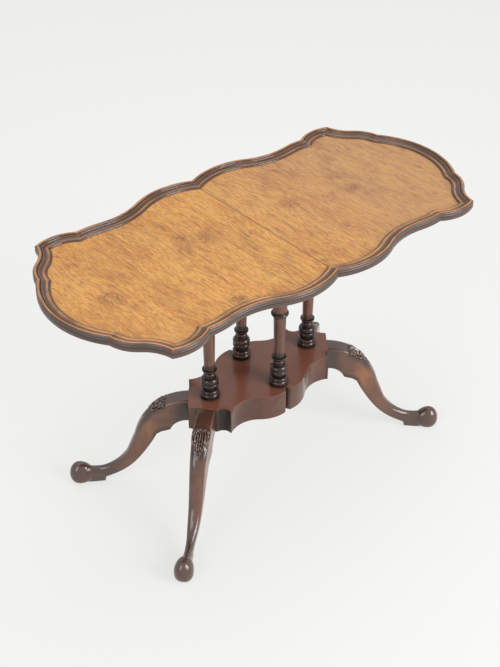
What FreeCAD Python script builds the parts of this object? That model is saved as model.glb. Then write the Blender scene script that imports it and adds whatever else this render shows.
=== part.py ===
"""Tray top tea table, as a parametric FreeCAD document.

A scalloped top with a mitred moulded rim stands on four turned columns. The columns
are tenoned into a shaped platform, and four cabriole legs are dowelled to it.

Millimetres, +Z up. The origin is on the floor under the middle of the top, and +X
runs along the length of the top.
"""
import FreeCAD, Part
import Sketcher
import math
import os
from collections import namedtuple
from types import SimpleNamespace

# ---------------------------------------------------------------- driving dimensions

DIMENSIONS = {
    # the table as a whole
    "table_height": 542,          # floor to the crest of the rim
    "top_length": 857,            # over the two end arcs
    "top_width": 420,             # over the crests of the side lobes
    # outline of the top: insets are from the end, drops from the side lobes' crest
    "side_notch_drop": 15,        # the notch in the middle of each side
    "side_crest_reach": 66,       # from the middle of the side to a lobe's crest
    "side_hollow_drop": 29.4,     # the lowest point of the hollow beside the lobe
    "side_swell_run": 54,         # from the hollow to the small swell beyond it
    "side_swell_drop": 24.7,
    "corner_cusp_run": 18,        # from the small swell to the corner's cusp
    "corner_cusp_drop": 25.7,
    "corner_length": 79,          # from the corner's cusp to its tip
    "corner_rise": 10.5,          # of the corner's arc over its chord
    "tip_inset": 87.5,
    "tip_drop": 19.6,
    "end_shoulder_rise": 5,       # of the two arcs between tip and end cusp
    "end_cusp_inset": 34.5,
    "end_cusp_drop": 108.5,
    # the top's layers and its rim
    "board_thickness": 8.5,
    "veneer_thickness": 1.5,
    "rim_height": 8,              # of the moulding above the veneer
    "rim_width": 21,
    "quirk_depth": 0.8,           # the fine sunk line below the rim's crest
    "quirk_height": 1.6,
    "edge_band_height": 0.8,      # of the plain edge below the quirk
    "crest_peak_inset": 4,        # from the outer edge to the top of the crest
    "crest_outer_rise": 2.2,
    "crest_inner_rise": 0.95,
    "crest_width": 7,
    "groove_height": 4.8,         # of the groove behind the crest, above the veneer
    "groove_width": 0.8,
    "thin_bead_width": 3,
    "thin_bead_rise": 1.1,
    "cove_foot_height": 1.8,
    "cove_rise": 0.9,
    "inner_bead_width": 4.6,
    "inner_bead_rise": 1.6,
    "inner_fillet_width": 1.6,    # the flat strip beside the panel
    "inner_fillet_height": 0.8,
    # the block that carries the top
    "bearer_thickness": 20,
    "bearer_end_margin": 28.2,    # beyond the centres of the end columns
    "bearer_side_margin": 21,     # beyond the centres of the side columns
    "bearer_chamfer": 8,
    "screw_length": 25,
    "screw_radius": 2.1,
    "screw_head_radius": 4.1,
    "screw_head_height": 2.4,
    "screw_inset": 18,            # from the block's end and side
    # the platform
    "platform_top": 215.5,        # floor to its upper face
    "platform_thickness": 52.5,
    "platform_length": 348,       # from point to point
    "platform_width": 165,        # over the lips of the side notches
    "platform_notch_depth": 9.5,
    "platform_notch_width": 12,
    "platform_lobe_reach": 58,    # from the middle to the foot of a side lobe
    "platform_lobe_drop": 16.3,
    "platform_lobe_rise": 5.7,
    "platform_hollow_rise": 10.5,
    "platform_hip_run": 15.7,     # from the edge of a leg's seat to the hip's point
    "platform_hip_drop": 20,
    "platform_cove_rise": 6.5,
    # the columns
    "column_end_inset": 52.2,     # of the end columns from the platform's points
    "column_side_inset": 28.5,    # of the side columns from the notch's lips
    "tenon_foot_radius": 8,
    "tenon_foot_length": 30,
    "tenon_head_radius": 7,
    "tenon_head_length": 15,
    "foot_ring_height": 15,
    "foot_ring_radius": 17.5,
    "foot_ring_seat_radius": 12.4,
    "neck_height": 4,
    "neck_radius": 9.9,
    "bulb_height": 27,
    "bulb_radius": 16,
    "bead_seat_height": 3,
    "bead_height": 5.5,
    "bead_radius": 11.2,
    "cup_height": 6,
    "cup_radius": 13.8,
    "cup_hollow_rise": 1.1,
    "cup_lip_height": 3,
    "shaft_foot_radius": 9.7,
    "shaft_head_radius": 11.8,
    "shaft_length": 93.5,         # from the cup to the band
    "band_height": 8,
    "band_radius": 16.5,
    "band_seat_radius": 13.3,
    "upper_shaft_head_radius": 12,
    "cap_height": 12.5,
    "cap_radius": 16,
    # the legs, measured out from a leg's seat on the platform
    "leg_angle": 39.3,            # in plan, from the length of the table
    "leg_seat_from_point": 34.9,  # along the seat, from the platform's point
    "leg_seat_margin": 3,         # of the platform beside the leg
    "leg_width": 33.5,
    "leg_top_step": 1.5,          # the leg's top below the platform's
    "leg_spring_step": 2.5,       # the arch's spring above the platform's underside
    "leg_arch_reach": 35.5,
    "leg_arch_drop": 22,
    "leg_arch_rise": 7.7,
    "leg_tab_reach": 52.5,
    "leg_tab_drop": 27,
    "leg_knee_back_reach": 62,
    "leg_knee_back_drop": 34.5,
    "leg_taper_reach": 50,        # where the leg starts to narrow
    "leg_shoulder_reach": 68,     # where the leg starts to fall
    "leg_shoulder_drop": 24,
    "leg_shoulder_rise": 5.5,
    "leg_knee_reach": 105,
    "leg_knee_drop": 90,
    "leg_knee_rise": 5,
    "leg_calf_reach": 97,
    "leg_calf_height": 69,
    "leg_calf_rise": 1.7,
    "leg_shin_reach": 121.5,
    "leg_shin_height": 81,
    "leg_instep_reach": 166.5,
    "leg_instep_height": 38,
    "leg_instep_rise": 5.2,
    "leg_heel_reach": 164,
    "leg_heel_height": 13,
    "leg_heel_rise": 6.2,
    "leg_sole_reach": 166.5,
    "leg_taper_rise": 0.5,
    "leg_ankle_width": 15.5,
    "foot_reach": 218,            # to the middle of the ball foot
    "foot_radius": 19,
    "foot_height": 47,
    "foot_sole_radius": 8.5,      # the flat that it stands on
    "foot_crown_radius": 7,
    "dowel_radius": 5,
    "dowel_length": 50,
    "dowel_spacing": 24,
    # fits
    "joint_clearance": 0.2,       # round tenons, dowels and screws, and at their ends
}

# ---------------------------------------------------------------- sizes and outlines


class Size:
    """A size worked out from the sheet: its value, and the expression that keeps it."""

    def __init__(self, value, text):
        self.value = value
        self.text = text

    def joined(self, other, sign, value, flip=False):
        """This size and another, or a plain number, on the two sides of a sign."""
        texts = [self.text, other.text if isinstance(other, Size) else str(other)]
        if flip:
            texts.reverse()
        return Size(value, f"({texts[0]} {sign} {texts[1]})")

    def __add__(self, other):
        return self.joined(other, "+", self.value + plain(other))

    def __sub__(self, other):
        return self.joined(other, "-", self.value - plain(other))

    def __rsub__(self, other):
        return self.joined(other, "-", plain(other) - self.value, flip=True)

    def __mul__(self, other):
        return self.joined(other, "*", self.value * plain(other))

    def __truediv__(self, other):
        return self.joined(other, "/", self.value / plain(other))

    def __neg__(self):
        return self * -1

    __radd__ = __add__
    __rmul__ = __mul__


def plain(number):
    """The value of a size, or a plain number as it is."""
    return number.value if isinstance(number, Size) else number


def sine(angle):
    return Size(math.sin(math.radians(angle.value)), f"sin({angle.text})")


def cosine(angle):
    return Size(math.cos(math.radians(angle.value)), f"cos({angle.text})")


ZERO = Size(0, "0")
ALONG = FreeCAD.Vector(1, 0, 0)
ACROSS = FreeCAD.Vector(0, 1, 0)
UP = FreeCAD.Vector(0, 0, 1)

Point = namedtuple("Point", "x y")
Bend = namedtuple("Bend", "radius rise")         # a rise below zero is a hollow
Stretch = namedtuple("Stretch", "start end bend")


def middle(first, second):
    return Point((first.x + second.x) / 2, (first.y + second.y) / 2)


def chord_squared(first, second):
    run = second.x - first.x
    climb = second.y - first.y
    return run * run + climb * climb


def straight(start, end):
    return Stretch(start, end, None)


def arc(start, end, rise, side=1):
    """An arc that stands out from its chord by its rise, or is hollow with side -1."""
    radius = (chord_squared(start, end) / 4 + rise * rise) / (rise * 2)
    return Stretch(start, end, Bend(radius, side * rise.value))


def level_arc(start, end, drop, side=1):
    """An arc that runs level at its higher or lower end, which the drop parts from the other."""
    radius = chord_squared(start, end) / (drop * 2)
    half_chord_squared = chord_squared(start, end).value / 4
    rise = radius.value - math.sqrt(radius.value ** 2 - half_chord_squared)
    return Stretch(start, end, Bend(radius, side * rise))


def mirrored(stretches, x_sign, y_sign):
    """The same run of stretches in another quadrant, still travelled anticlockwise."""
    flipped = []
    for start, end, bend in stretches:
        ends = [Point(point.x * x_sign, point.y * y_sign) for point in (start, end)]
        if x_sign != y_sign:
            ends.reverse()
        flipped.append(Stretch(ends[0], ends[1], bend))
    if x_sign != y_sign:
        flipped.reverse()
    return flipped


def chain(points):
    """Straight stretches through the points in turn."""
    return [straight(start, end) for start, end in zip(points, points[1:])]


def flat_vector(point):
    return FreeCAD.Vector(point.x.value, point.y.value, 0)


def outward_normal(start, end):
    """The direction to the right of the way from one place to the next."""
    way = end - start
    return FreeCAD.Vector(way.y, -way.x, 0).normalize()


def stretch_apex(stretch):
    """The middle of an arc, on the curve."""
    start = flat_vector(stretch.start)
    end = flat_vector(stretch.end)
    return (start + end) * 0.5 + outward_normal(start, end) * stretch.bend.rise


def stretch_curve(stretch):
    """A stretch as sketch geometry; arcs are drawn anticlockwise, hollow ones from their end."""
    ends = [flat_vector(stretch.start), flat_vector(stretch.end)]
    if stretch.bend is None:
        return Part.LineSegment(*ends)
    if stretch.bend.rise < 0:
        ends.reverse()
    return Part.Arc(ends[0], stretch_apex(stretch), ends[1])


def draw_outline(sketch, stretches):
    """Draw a closed outline and bind its corners and radii to the sheet."""
    sketch.addGeometry([stretch_curve(stretch) for stretch in stretches], False)
    first_ends = [2 if stretch.bend and stretch.bend.rise < 0 else 1 for stretch in stretches]
    constraints = []
    bindings = []
    for index, stretch in enumerate(stretches):
        start_vertex = first_ends[index]
        following = (index + 1) % len(stretches)
        for kind, size in (("DistanceX", stretch.start.x), ("DistanceY", stretch.start.y)):
            bindings.append((len(constraints), size))
            constraints.append(Sketcher.Constraint(kind, index, start_vertex, size.value))
        constraints.append(
            Sketcher.Constraint(
                "Coincident", index, 3 - start_vertex, following, first_ends[following]
            )
        )
        if stretch.bend:
            bindings.append((len(constraints), stretch.bend.radius))
            constraints.append(Sketcher.Constraint("Radius", index, stretch.bend.radius.value))
    sketch.addConstraint(constraints)
    for index, size in bindings:
        bind(sketch, f"Constraints[{index}]", size)


def draw_circles(sketch, centres, radius):
    """Draw equal circles and bind their centres and radii to the sheet."""
    for index, centre in enumerate(centres):
        circle = Part.Circle(flat_vector(centre), UP, radius.value)
        sketch.addGeometry(circle, False)
        sizes = (("DistanceX", centre.x), ("DistanceY", centre.y))
        for kind, size in sizes:
            constraint = Sketcher.Constraint(kind, index, 3, size.value)
            bind(sketch, f"Constraints[{sketch.addConstraint(constraint)}]", size)
        constraint = Sketcher.Constraint("Radius", index, radius.value)
        bind(sketch, f"Constraints[{sketch.addConstraint(constraint)}]", radius)


# ---------------------------------------------------------------- document helpers


def read_sizes(doc):
    """Fill the sheet with the driving dimensions and give each one as a Size."""
    sheet = doc.addObject("Spreadsheet::Sheet", "Sizes")
    for row, (alias, value) in enumerate(DIMENSIONS.items(), start=1):
        sheet.set(f"A{row}", alias)
        sheet.set(f"B{row}", str(value))
        sheet.setAlias(f"B{row}", alias)
    doc.recompute()
    sizes = {alias: Size(sheet.get(alias), f"Sizes.{alias}") for alias in DIMENSIONS}
    return SimpleNamespace(**sizes)


def bind(item, path, size):
    item.setExpression(path, size.text)


def place(item, x=ZERO, y=ZERO, z=ZERO):
    """Bind the place of an object to the sheet."""
    for axis, size in (("x", x), ("y", y), ("z", z)):
        bind(item, f"Placement.Base.{axis}", size)


def new_body(doc, label):
    body = doc.addObject("PartDesign::Body", label)
    body.Label = label
    return body


def new_sketch(body, name, role="XY_Plane"):
    """A sketch on one of the body's own origin planes."""
    sketch = body.newObject("Sketcher::SketchObject", name)
    planes = [item for item in body.Origin.OriginFeatures if item.Role == role]
    sketch.AttachmentSupport = (planes[0], "")
    sketch.MapMode = "FlatFace"
    return sketch


def pad(body, sketch, length, both_ways=False):
    feature = body.newObject("PartDesign::Pad", "Pad")
    feature.Profile = sketch
    feature.Midplane = both_ways
    bind(feature, "Length", length)
    return feature


def pocket(body, sketch, depth, reverse=False):
    """Cut a sketch into the body, against the sketch's normal or, reversed, along it."""
    feature = body.newObject("PartDesign::Pocket", "Pocket")
    feature.Profile = sketch
    feature.Reversed = reverse
    bind(feature, "Length", depth)
    return feature


def turn_on_lathe(body, sketch):
    """Revolve a profile that stands on the XZ plane about the body's Z axis."""
    feature = body.newObject("PartDesign::Revolution", "Turning")
    feature.Profile = sketch
    feature.ReferenceAxis = (sketch, ["V_Axis"])
    feature.Angle = 360
    return feature


def facing_sketch(body, name, centre, height, angle):
    """A sketch that stands upright and faces out along an angle in plan."""
    sketch = new_sketch(body, name, "XZ_Plane")
    sketch.AttachmentOffset = FreeCAD.Placement(
        FreeCAD.Vector(), FreeCAD.Rotation(ACROSS, angle.value + 90)
    )
    bind(sketch, "AttachmentOffset.Base.x", centre.x)
    bind(sketch, "AttachmentOffset.Base.y", height)
    bind(sketch, "AttachmentOffset.Base.z", -centre.y)
    bind(sketch, "AttachmentOffset.Rotation.Angle", angle + 90)
    return sketch


# ---------------------------------------------------------------- outline of the top


def top_quarter(size):
    """The outline of the top from the back right end cusp to the notch in the back side."""
    half_length = size.top_length / 2
    half_width = size.top_width / 2
    end_cusp = Point(half_length - size.end_cusp_inset, half_width - size.end_cusp_drop)
    tip = Point(half_length - size.tip_inset, half_width - size.tip_drop)
    corner_cusp = Point(tip.x - size.corner_length, half_width - size.corner_cusp_drop)
    swell = Point(corner_cusp.x - size.corner_cusp_run, half_width - size.side_swell_drop)
    hollow = Point(swell.x - size.side_swell_run, half_width - size.side_hollow_drop)
    crest = Point(size.side_crest_reach, half_width)
    notch = Point(ZERO, half_width - size.side_notch_drop)
    shoulder = middle(end_cusp, tip)
    swell_turn = middle(swell, hollow)
    hollow_turn = middle(hollow, crest)
    swell_climb = (size.side_hollow_drop - size.side_swell_drop) / 2
    crest_climb = size.side_hollow_drop / 2
    cusp_fall = size.corner_cusp_drop - size.side_swell_drop
    return SimpleNamespace(
        shoulder=[
            arc(end_cusp, shoulder, size.end_shoulder_rise),
            arc(shoulder, tip, size.end_shoulder_rise, side=-1),
        ],
        corner=[arc(tip, corner_cusp, size.corner_rise)],
        side=[
            level_arc(corner_cusp, swell, cusp_fall),
            level_arc(swell, swell_turn, swell_climb),
            level_arc(swell_turn, hollow, swell_climb, side=-1),
            level_arc(hollow, hollow_turn, crest_climb, side=-1),
            level_arc(hollow_turn, crest, crest_climb),
            level_arc(crest, notch, size.side_notch_drop),
        ],
        end_cusp=end_cusp,
        notch=notch,
    )


def end_arc(size, quarter):
    """The arc round the right end of the top."""
    return arc(mirrored_point(quarter.end_cusp), quarter.end_cusp, size.end_cusp_inset)


def mirrored_point(point):
    return Point(point.x, -point.y)


def right_half_outline(size, quarter):
    """The outline of the right half, from the front notch round the end to the back notch."""
    back = quarter.shoulder + quarter.corner + quarter.side
    return mirrored(back, 1, -1) + [end_arc(size, quarter)] + back


# ---------------------------------------------------------------- the top


def make_ground_board(doc, size, levels, quarter):
    """The solid board under the veneer, with blind holes for the bearer's screws."""
    body = new_body(doc, "ground_board")
    right = right_half_outline(size, quarter)
    sketch = new_sketch(body, "BoardOutline")
    draw_outline(sketch, right + mirrored(right, -1, -1))
    pad(body, sketch, size.board_thickness)
    holes = new_sketch(body, "PilotHoles")
    draw_circles(holes, screw_places(size), size.screw_radius + size.joint_clearance)
    depth = size.screw_length - size.bearer_thickness + size.joint_clearance
    pocket(body, holes, depth, reverse=True)
    place(body, z=levels.board)
    return body


def make_veneer(doc, size, levels, quarter, label, x_sign):
    """One leaf of the figured veneer; the two meet along the middle of the top."""
    body = new_body(doc, label)
    outline = right_half_outline(size, quarter)
    outline.append(straight(quarter.notch, mirrored_point(quarter.notch)))
    sketch = new_sketch(body, "LeafOutline")
    draw_outline(sketch, outline if x_sign > 0 else mirrored(outline, -1, 1))
    pad(body, sketch, size.veneer_thickness)
    place(body, z=levels.veneer)
    return body


def draw_rim_section(doc, size):
    """The moulding's section: x runs in from the outer edge and y up from the veneer."""
    thin_bead_start = size.crest_width + size.groove_width
    thin_bead_end = thin_bead_start + size.thin_bead_width
    inner_bead_end = size.rim_width - size.inner_fillet_width
    inner_bead_start = inner_bead_end - size.inner_bead_width
    outer_foot = Point(ZERO, ZERO)
    inner_foot = Point(size.rim_width, ZERO)
    inner_top = Point(size.rim_width, size.inner_fillet_height)
    inner_corner = Point(inner_bead_end, size.inner_fillet_height)
    cove_foot = Point(inner_bead_start, size.cove_foot_height)
    cove_head = Point(thin_bead_end, size.groove_height)
    groove_end = Point(thin_bead_start, size.groove_height)
    groove_start = Point(size.crest_width, size.groove_height)
    crest = Point(size.crest_peak_inset, size.rim_height)
    quirk = Point(size.quirk_depth, size.quirk_height)
    outer_top = Point(ZERO, size.edge_band_height)
    sketch = doc.addObject("Sketcher::SketchObject", "RimSection")
    draw_outline(
        sketch,
        chain([outer_foot, inner_foot, inner_top, inner_corner])
        + [
            arc(inner_corner, cove_foot, size.inner_bead_rise),
            arc(cove_foot, cove_head, size.cove_rise, side=-1),
            arc(cove_head, groove_end, size.thin_bead_rise),
            straight(groove_end, groove_start),
            arc(groove_start, crest, size.crest_inner_rise),
            arc(crest, quirk, size.crest_outer_rise),
        ]
        + chain([quirk, outer_top, outer_foot]),
    )
    return sketch


def arc_centre(stretch):
    """The centre of an arc, with its sense: 1 where it is travelled anticlockwise."""
    sense = 1 if stretch.bend.rise > 0 else -1
    normal = outward_normal(flat_vector(stretch.start), flat_vector(stretch.end))
    return stretch_apex(stretch) - normal * (sense * stretch.bend.radius.value), sense


def outward_at(stretch, point):
    """The direction straight out of the top at one end of an arc."""
    centre, sense = arc_centre(stretch)
    return (flat_vector(point) - centre).normalize() * sense


def run_moulding(section, stretch, lead_in, lead_out):
    """Carry the section along one arc, run on past its ends by two lengths."""
    centre, sense = arc_centre(stretch)
    start = flat_vector(stretch.start)
    inward = outward_at(stretch, stretch.start) * -1
    face = section.copy()
    face.Placement = FreeCAD.Placement(
        start, FreeCAD.Rotation(inward, UP, inward.cross(UP), "XYZ")
    )
    turn = math.degrees((start - centre).getAngle(flat_vector(stretch.end) - centre))
    degrees_per_mm = math.degrees(1 / stretch.bend.radius.value)
    face.rotate(centre, UP, -sense * lead_in * degrees_per_mm)
    return face.revolve(centre, UP * sense, turn + (lead_in + lead_out) * degrees_per_mm)


def beyond_mitre(size, corner, mitre, beyond):
    """Everything past a mitre line near one corner of the outline."""
    reach = 2 * size.rim_width.value
    near = [flat_vector(corner) + mitre * reach, flat_vector(corner) - mitre * reach]
    far = [point + beyond * reach for point in near]
    wire = Part.makePolygon([near[0], near[1], far[1], far[0], near[0]])
    block = Part.Face(wire).extrude(UP * (3 * size.rim_height.value))
    block.translate(UP * -size.rim_height.value)
    return block


def rim_shape(size, section, stretches, before, after):
    """A length of moulding along an outline, mitred to the ones before and after it."""
    overrun = size.rim_width.value
    runs = []
    for stretch in stretches:
        lead_in = overrun if stretch is stretches[0] else 0
        lead_out = overrun if stretch is stretches[-1] else 0
        runs.append(run_moulding(section, stretch, lead_in, lead_out))
    moulding = runs[0].multiFuse(runs[1:]) if len(runs) > 1 else runs[0]
    ends = (
        (stretches[0].start, stretches[0], before, -1),
        (stretches[-1].end, stretches[-1], after, 1),
    )
    for corner, own, neighbour, side in ends:
        mitre = (outward_at(own, corner) + outward_at(neighbour, corner)).normalize()
        beyond = UP.cross(mitre) * side
        moulding = moulding.cut(beyond_mitre(size, corner, mitre, beyond))
    return moulding.Solids[0]


def make_rim(doc, size, levels, quarter):
    """Fourteen lengths of moulding: two ends, and three in each quarter of the outline."""
    sketch = draw_rim_section(doc, size)
    doc.recompute()
    section = Part.Face(sketch.Shape.Wires[0])
    end = end_arc(size, quarter)
    lengths = {
        "rim_end": ([end], mirrored(quarter.shoulder, 1, -1)[-1], quarter.shoulder[0]),
        "rim_shoulder": (quarter.shoulder, end, quarter.corner[0]),
        "rim_corner": (quarter.corner, quarter.shoulder[-1], quarter.side[0]),
        "rim_side": (quarter.side, quarter.corner[0], mirrored(quarter.side, -1, 1)[0]),
    }
    parts = []
    for name, (stretches, before, after) in lengths.items():
        # A moulding along several arcs, mitred at both ends, has no feature of its own.
        place_name = "right" if name == "rim_end" else "back_right"
        right = doc.addObject("Part::Feature", f"{name}_{place_name}")
        right.Label = f"{name}_{place_name}"
        right.Shape = rim_shape(size, section, stretches, before, after)
        place(right, z=levels.rim)
        left = mirror_copy(doc, right, place_name.replace("right", "left"), name, ALONG)
        parts += [right, left]
        if name != "rim_end":
            parts.append(mirror_copy(doc, right, "front_right", name, ACROSS))
            parts.append(mirror_copy(doc, left, "front_left", name, ACROSS))
    return parts


def mirror_copy(doc, source, place_name, name, normal):
    """A piece mirrored across a plane through the middle of the table."""
    copy = doc.addObject("Part::Mirroring", f"{name}_{place_name}")
    copy.Label = f"{name}_{place_name}"
    copy.Source = source
    copy.Normal = normal
    return copy


# ---------------------------------------------------------------- bearer block and screws


def column_places(size):
    """Where the four columns stand, by the side of the table they are on."""
    end_reach = size.platform_length / 2 - size.column_end_inset
    side_reach = size.platform_width / 2 - size.column_side_inset
    return {
        "left": Point(-end_reach, ZERO),
        "right": Point(end_reach, ZERO),
        "front": Point(ZERO, -side_reach),
        "back": Point(ZERO, side_reach),
    }


def bearer_corner(size):
    """The back right corner of the bearer block."""
    places = column_places(size)
    return Point(
        places["right"].x + size.bearer_end_margin, places["back"].y + size.bearer_side_margin
    )


def four_corners(point):
    """A point and its mirror images, anticlockwise from the back right."""
    return [Point(point.x * x, point.y * y) for x, y in ((1, 1), (-1, 1), (-1, -1), (1, -1))]


def screw_places(size):
    corner = bearer_corner(size)
    return four_corners(Point(corner.x - size.screw_inset, corner.y - size.screw_inset))


def make_bearer_block(doc, size, levels):
    """The block under the top that takes the columns' upper tenons."""
    body = new_body(doc, "bearer_block")
    corners = four_corners(bearer_corner(size))
    sketch = new_sketch(body, "BlockOutline")
    draw_outline(sketch, chain(corners + corners[:1]))
    block = pad(body, sketch, size.bearer_thickness)
    doc.recompute()
    chamfer = body.newObject("PartDesign::Chamfer", "LowerChamfer")
    chamfer.Base = (block, lowest_edges(block.Shape))
    bind(chamfer, "Size", size.bearer_chamfer)
    mortises = new_sketch(body, "Mortises")
    draw_circles(
        mortises, column_places(size).values(), size.tenon_head_radius + size.joint_clearance
    )
    pocket(body, mortises, size.tenon_head_length + size.joint_clearance, reverse=True)
    shanks = new_sketch(body, "ScrewHoles")
    draw_circles(shanks, screw_places(size), size.screw_radius + size.joint_clearance)
    pocket(body, shanks, size.bearer_thickness, reverse=True)
    for centre in screw_places(size):
        sink = body.newObject("PartDesign::SubtractiveCone", "Countersink")
        bind(sink, "Radius1", size.screw_head_radius + size.joint_clearance)
        bind(sink, "Radius2", size.screw_radius + size.joint_clearance)
        bind(sink, "Height", size.screw_head_height)
        place(sink, centre.x, centre.y)
    place(body, z=levels.bearer)
    return body


def lowest_edges(shape):
    """The names of the edges that lie in the lowest plane of a shape."""
    floor = shape.BoundBox.ZMin
    names = []
    for number, edge in enumerate(shape.Edges, start=1):
        if edge.BoundBox.ZMax - floor < 1e-6:
            names.append(f"Edge{number}")
    return names


def make_screws(doc, size, levels):
    """The countersunk wood screws that hold the bearer block to the board."""
    screws = []
    for centre in screw_places(size):
        body = new_body(doc, "bearer_screw")
        sketch = new_sketch(body, "ScrewProfile", "XZ_Plane")
        point_start = size.screw_length - size.screw_radius * 2
        draw_outline(
            sketch,
            chain(
                [
                    Point(ZERO, ZERO),
                    Point(size.screw_head_radius, ZERO),
                    Point(size.screw_radius, size.screw_head_height),
                    Point(size.screw_radius, point_start),
                    Point(ZERO, size.screw_length),
                    Point(ZERO, ZERO),
                ]
            ),
        )
        turn_on_lathe(body, sketch)
        place(body, centre.x, centre.y, levels.bearer)
        screws.append(body)
    group = doc.addObject("Part::Compound", "bearer_screws")
    group.Label = "bearer_screws"
    group.Links = screws
    return group


# ---------------------------------------------------------------- columns


def column_profile(size, levels):
    """Half the section of a column, from its foot tenon up to its head tenon."""
    length = levels.bearer - size.platform_top
    ring_top = size.foot_ring_height
    neck_top = ring_top + size.neck_height
    bulb_top = neck_top + size.bulb_height
    bead_foot = bulb_top + size.bead_seat_height
    bead_top = bead_foot + size.bead_height
    cup_top = bead_top + size.cup_height
    lip_top = cup_top + size.cup_lip_height
    band_foot = lip_top + size.shaft_length
    band_top = band_foot + size.band_height
    cap_foot = length - size.cap_height
    foot_end = Point(ZERO, -size.tenon_foot_length)
    head_end = Point(ZERO, length + size.tenon_head_length)
    ring_start = Point(size.foot_ring_seat_radius, ZERO)
    ring_end = Point(size.foot_ring_seat_radius, ring_top)
    bulb_start = Point(size.neck_radius, neck_top)
    bulb_end = Point(size.neck_radius, bulb_top)
    bead_start = Point(size.neck_radius, bead_foot)
    bead_end = Point(size.neck_radius, bead_top)
    cup_rim = Point(size.cup_radius, cup_top)
    band_start = Point(size.band_seat_radius, band_foot)
    band_end = Point(size.band_seat_radius, band_top)
    cap_start = Point(size.upper_shaft_head_radius, cap_foot)
    return (
        chain(
            [
                foot_end,
                Point(size.tenon_foot_radius, foot_end.y),
                Point(size.tenon_foot_radius, ZERO),
                ring_start,
            ]
        )
        + [arc(ring_start, ring_end, size.foot_ring_radius - size.foot_ring_seat_radius)]
        + chain([ring_end, Point(size.neck_radius, ring_top), bulb_start])
        + [arc(bulb_start, bulb_end, size.bulb_radius - size.neck_radius)]
        + chain([bulb_end, bead_start])
        + [arc(bead_start, bead_end, size.bead_radius - size.neck_radius)]
        + [arc(bead_end, cup_rim, size.cup_hollow_rise, side=-1)]
        + chain(
            [
                cup_rim,
                Point(size.cup_radius, lip_top),
                Point(size.shaft_foot_radius, lip_top),
                Point(size.shaft_head_radius, band_foot),
                band_start,
            ]
        )
        + [arc(band_start, band_end, size.band_radius - size.band_seat_radius)]
        + chain(
            [
                band_end,
                cap_start,
                Point(size.cap_radius, cap_foot),
                Point(size.cap_radius, length),
                Point(size.tenon_head_radius, length),
                Point(size.tenon_head_radius, head_end.y),
                head_end,
                foot_end,
            ]
        )
    )


def make_column(doc, size, levels, side, centre):
    """A turned column, with a round tenon at each end."""
    body = new_body(doc, f"column_{side}")
    sketch = new_sketch(body, "ColumnProfile", "XZ_Plane")
    draw_outline(sketch, column_profile(size, levels))
    turn_on_lathe(body, sketch)
    place(body, centre.x, centre.y, size.platform_top)
    return body


# ---------------------------------------------------------------- platform


def leg_seats(size):
    """The centre of each leg's seat, with its corner signs and its angle in plan."""
    along = size.leg_seat_from_point
    seat = Point(
        size.platform_length / 2 - sine(size.leg_angle) * along, cosine(size.leg_angle) * along
    )
    angles = (size.leg_angle, 180 - size.leg_angle, size.leg_angle + 180, 360 - size.leg_angle)
    names = ("back_right", "back_left", "front_left", "front_right")
    return list(zip(names, four_corners(seat), angles))


def platform_quarter(size):
    """The platform's outline from its right point to the notch in its back side."""
    half_length = size.platform_length / 2
    half_width = size.platform_width / 2
    seat_end = size.leg_seat_from_point + size.leg_width / 2 + size.leg_seat_margin
    tip = Point(half_length, ZERO)
    seat_edge = Point(
        half_length - sine(size.leg_angle) * seat_end, cosine(size.leg_angle) * seat_end
    )
    hip = Point(seat_edge.x - size.platform_hip_run, half_width - size.platform_hip_drop)
    lobe_foot = Point(size.platform_lobe_reach, half_width - size.platform_lobe_drop)
    lip = Point(size.platform_notch_width / 2, half_width)
    notch = Point(ZERO, half_width - size.platform_notch_depth)
    return [
        straight(tip, seat_edge),
        arc(seat_edge, hip, size.platform_cove_rise, side=-1),
        arc(hip, lobe_foot, size.platform_hollow_rise, side=-1),
        arc(lobe_foot, lip, size.platform_lobe_rise),
        straight(lip, notch),
    ]


def make_platform(doc, size, levels):
    """The shaped platform, bored for the columns' tenons and the legs' dowels."""
    body = new_body(doc, "platform")
    quarter = platform_quarter(size)
    right = mirrored(quarter, 1, -1) + quarter
    sketch = new_sketch(body, "PlatformOutline")
    draw_outline(sketch, right + mirrored(right, -1, -1))
    pad(body, sketch, size.platform_thickness)
    mortise_floor = size.platform_thickness - size.tenon_foot_length - size.joint_clearance
    mortises = new_sketch(body, "Mortises")
    bind(mortises, "AttachmentOffset.Base.z", mortise_floor)
    draw_circles(
        mortises, column_places(size).values(), size.tenon_foot_radius + size.joint_clearance
    )
    pocket(body, mortises, size.platform_thickness - mortise_floor, reverse=True)
    for name, centre, angle in leg_seats(size):
        holes = facing_sketch(body, "DowelHoles", centre, size.platform_thickness / 2, angle)
        draw_circles(holes, dowel_heights(size), size.dowel_radius + size.joint_clearance)
        pocket(body, holes, dowel_hole_depth(size))
    place(body, z=levels.platform)
    return body


# ---------------------------------------------------------------- legs and dowels


def dowel_heights(size):
    """The dowels' places on a leg's seat, from its centre."""
    return [Point(ZERO, size.dowel_spacing / 2), Point(ZERO, -size.dowel_spacing / 2)]


def dowel_hole_depth(size):
    return size.dowel_length / 2 + size.joint_clearance


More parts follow.
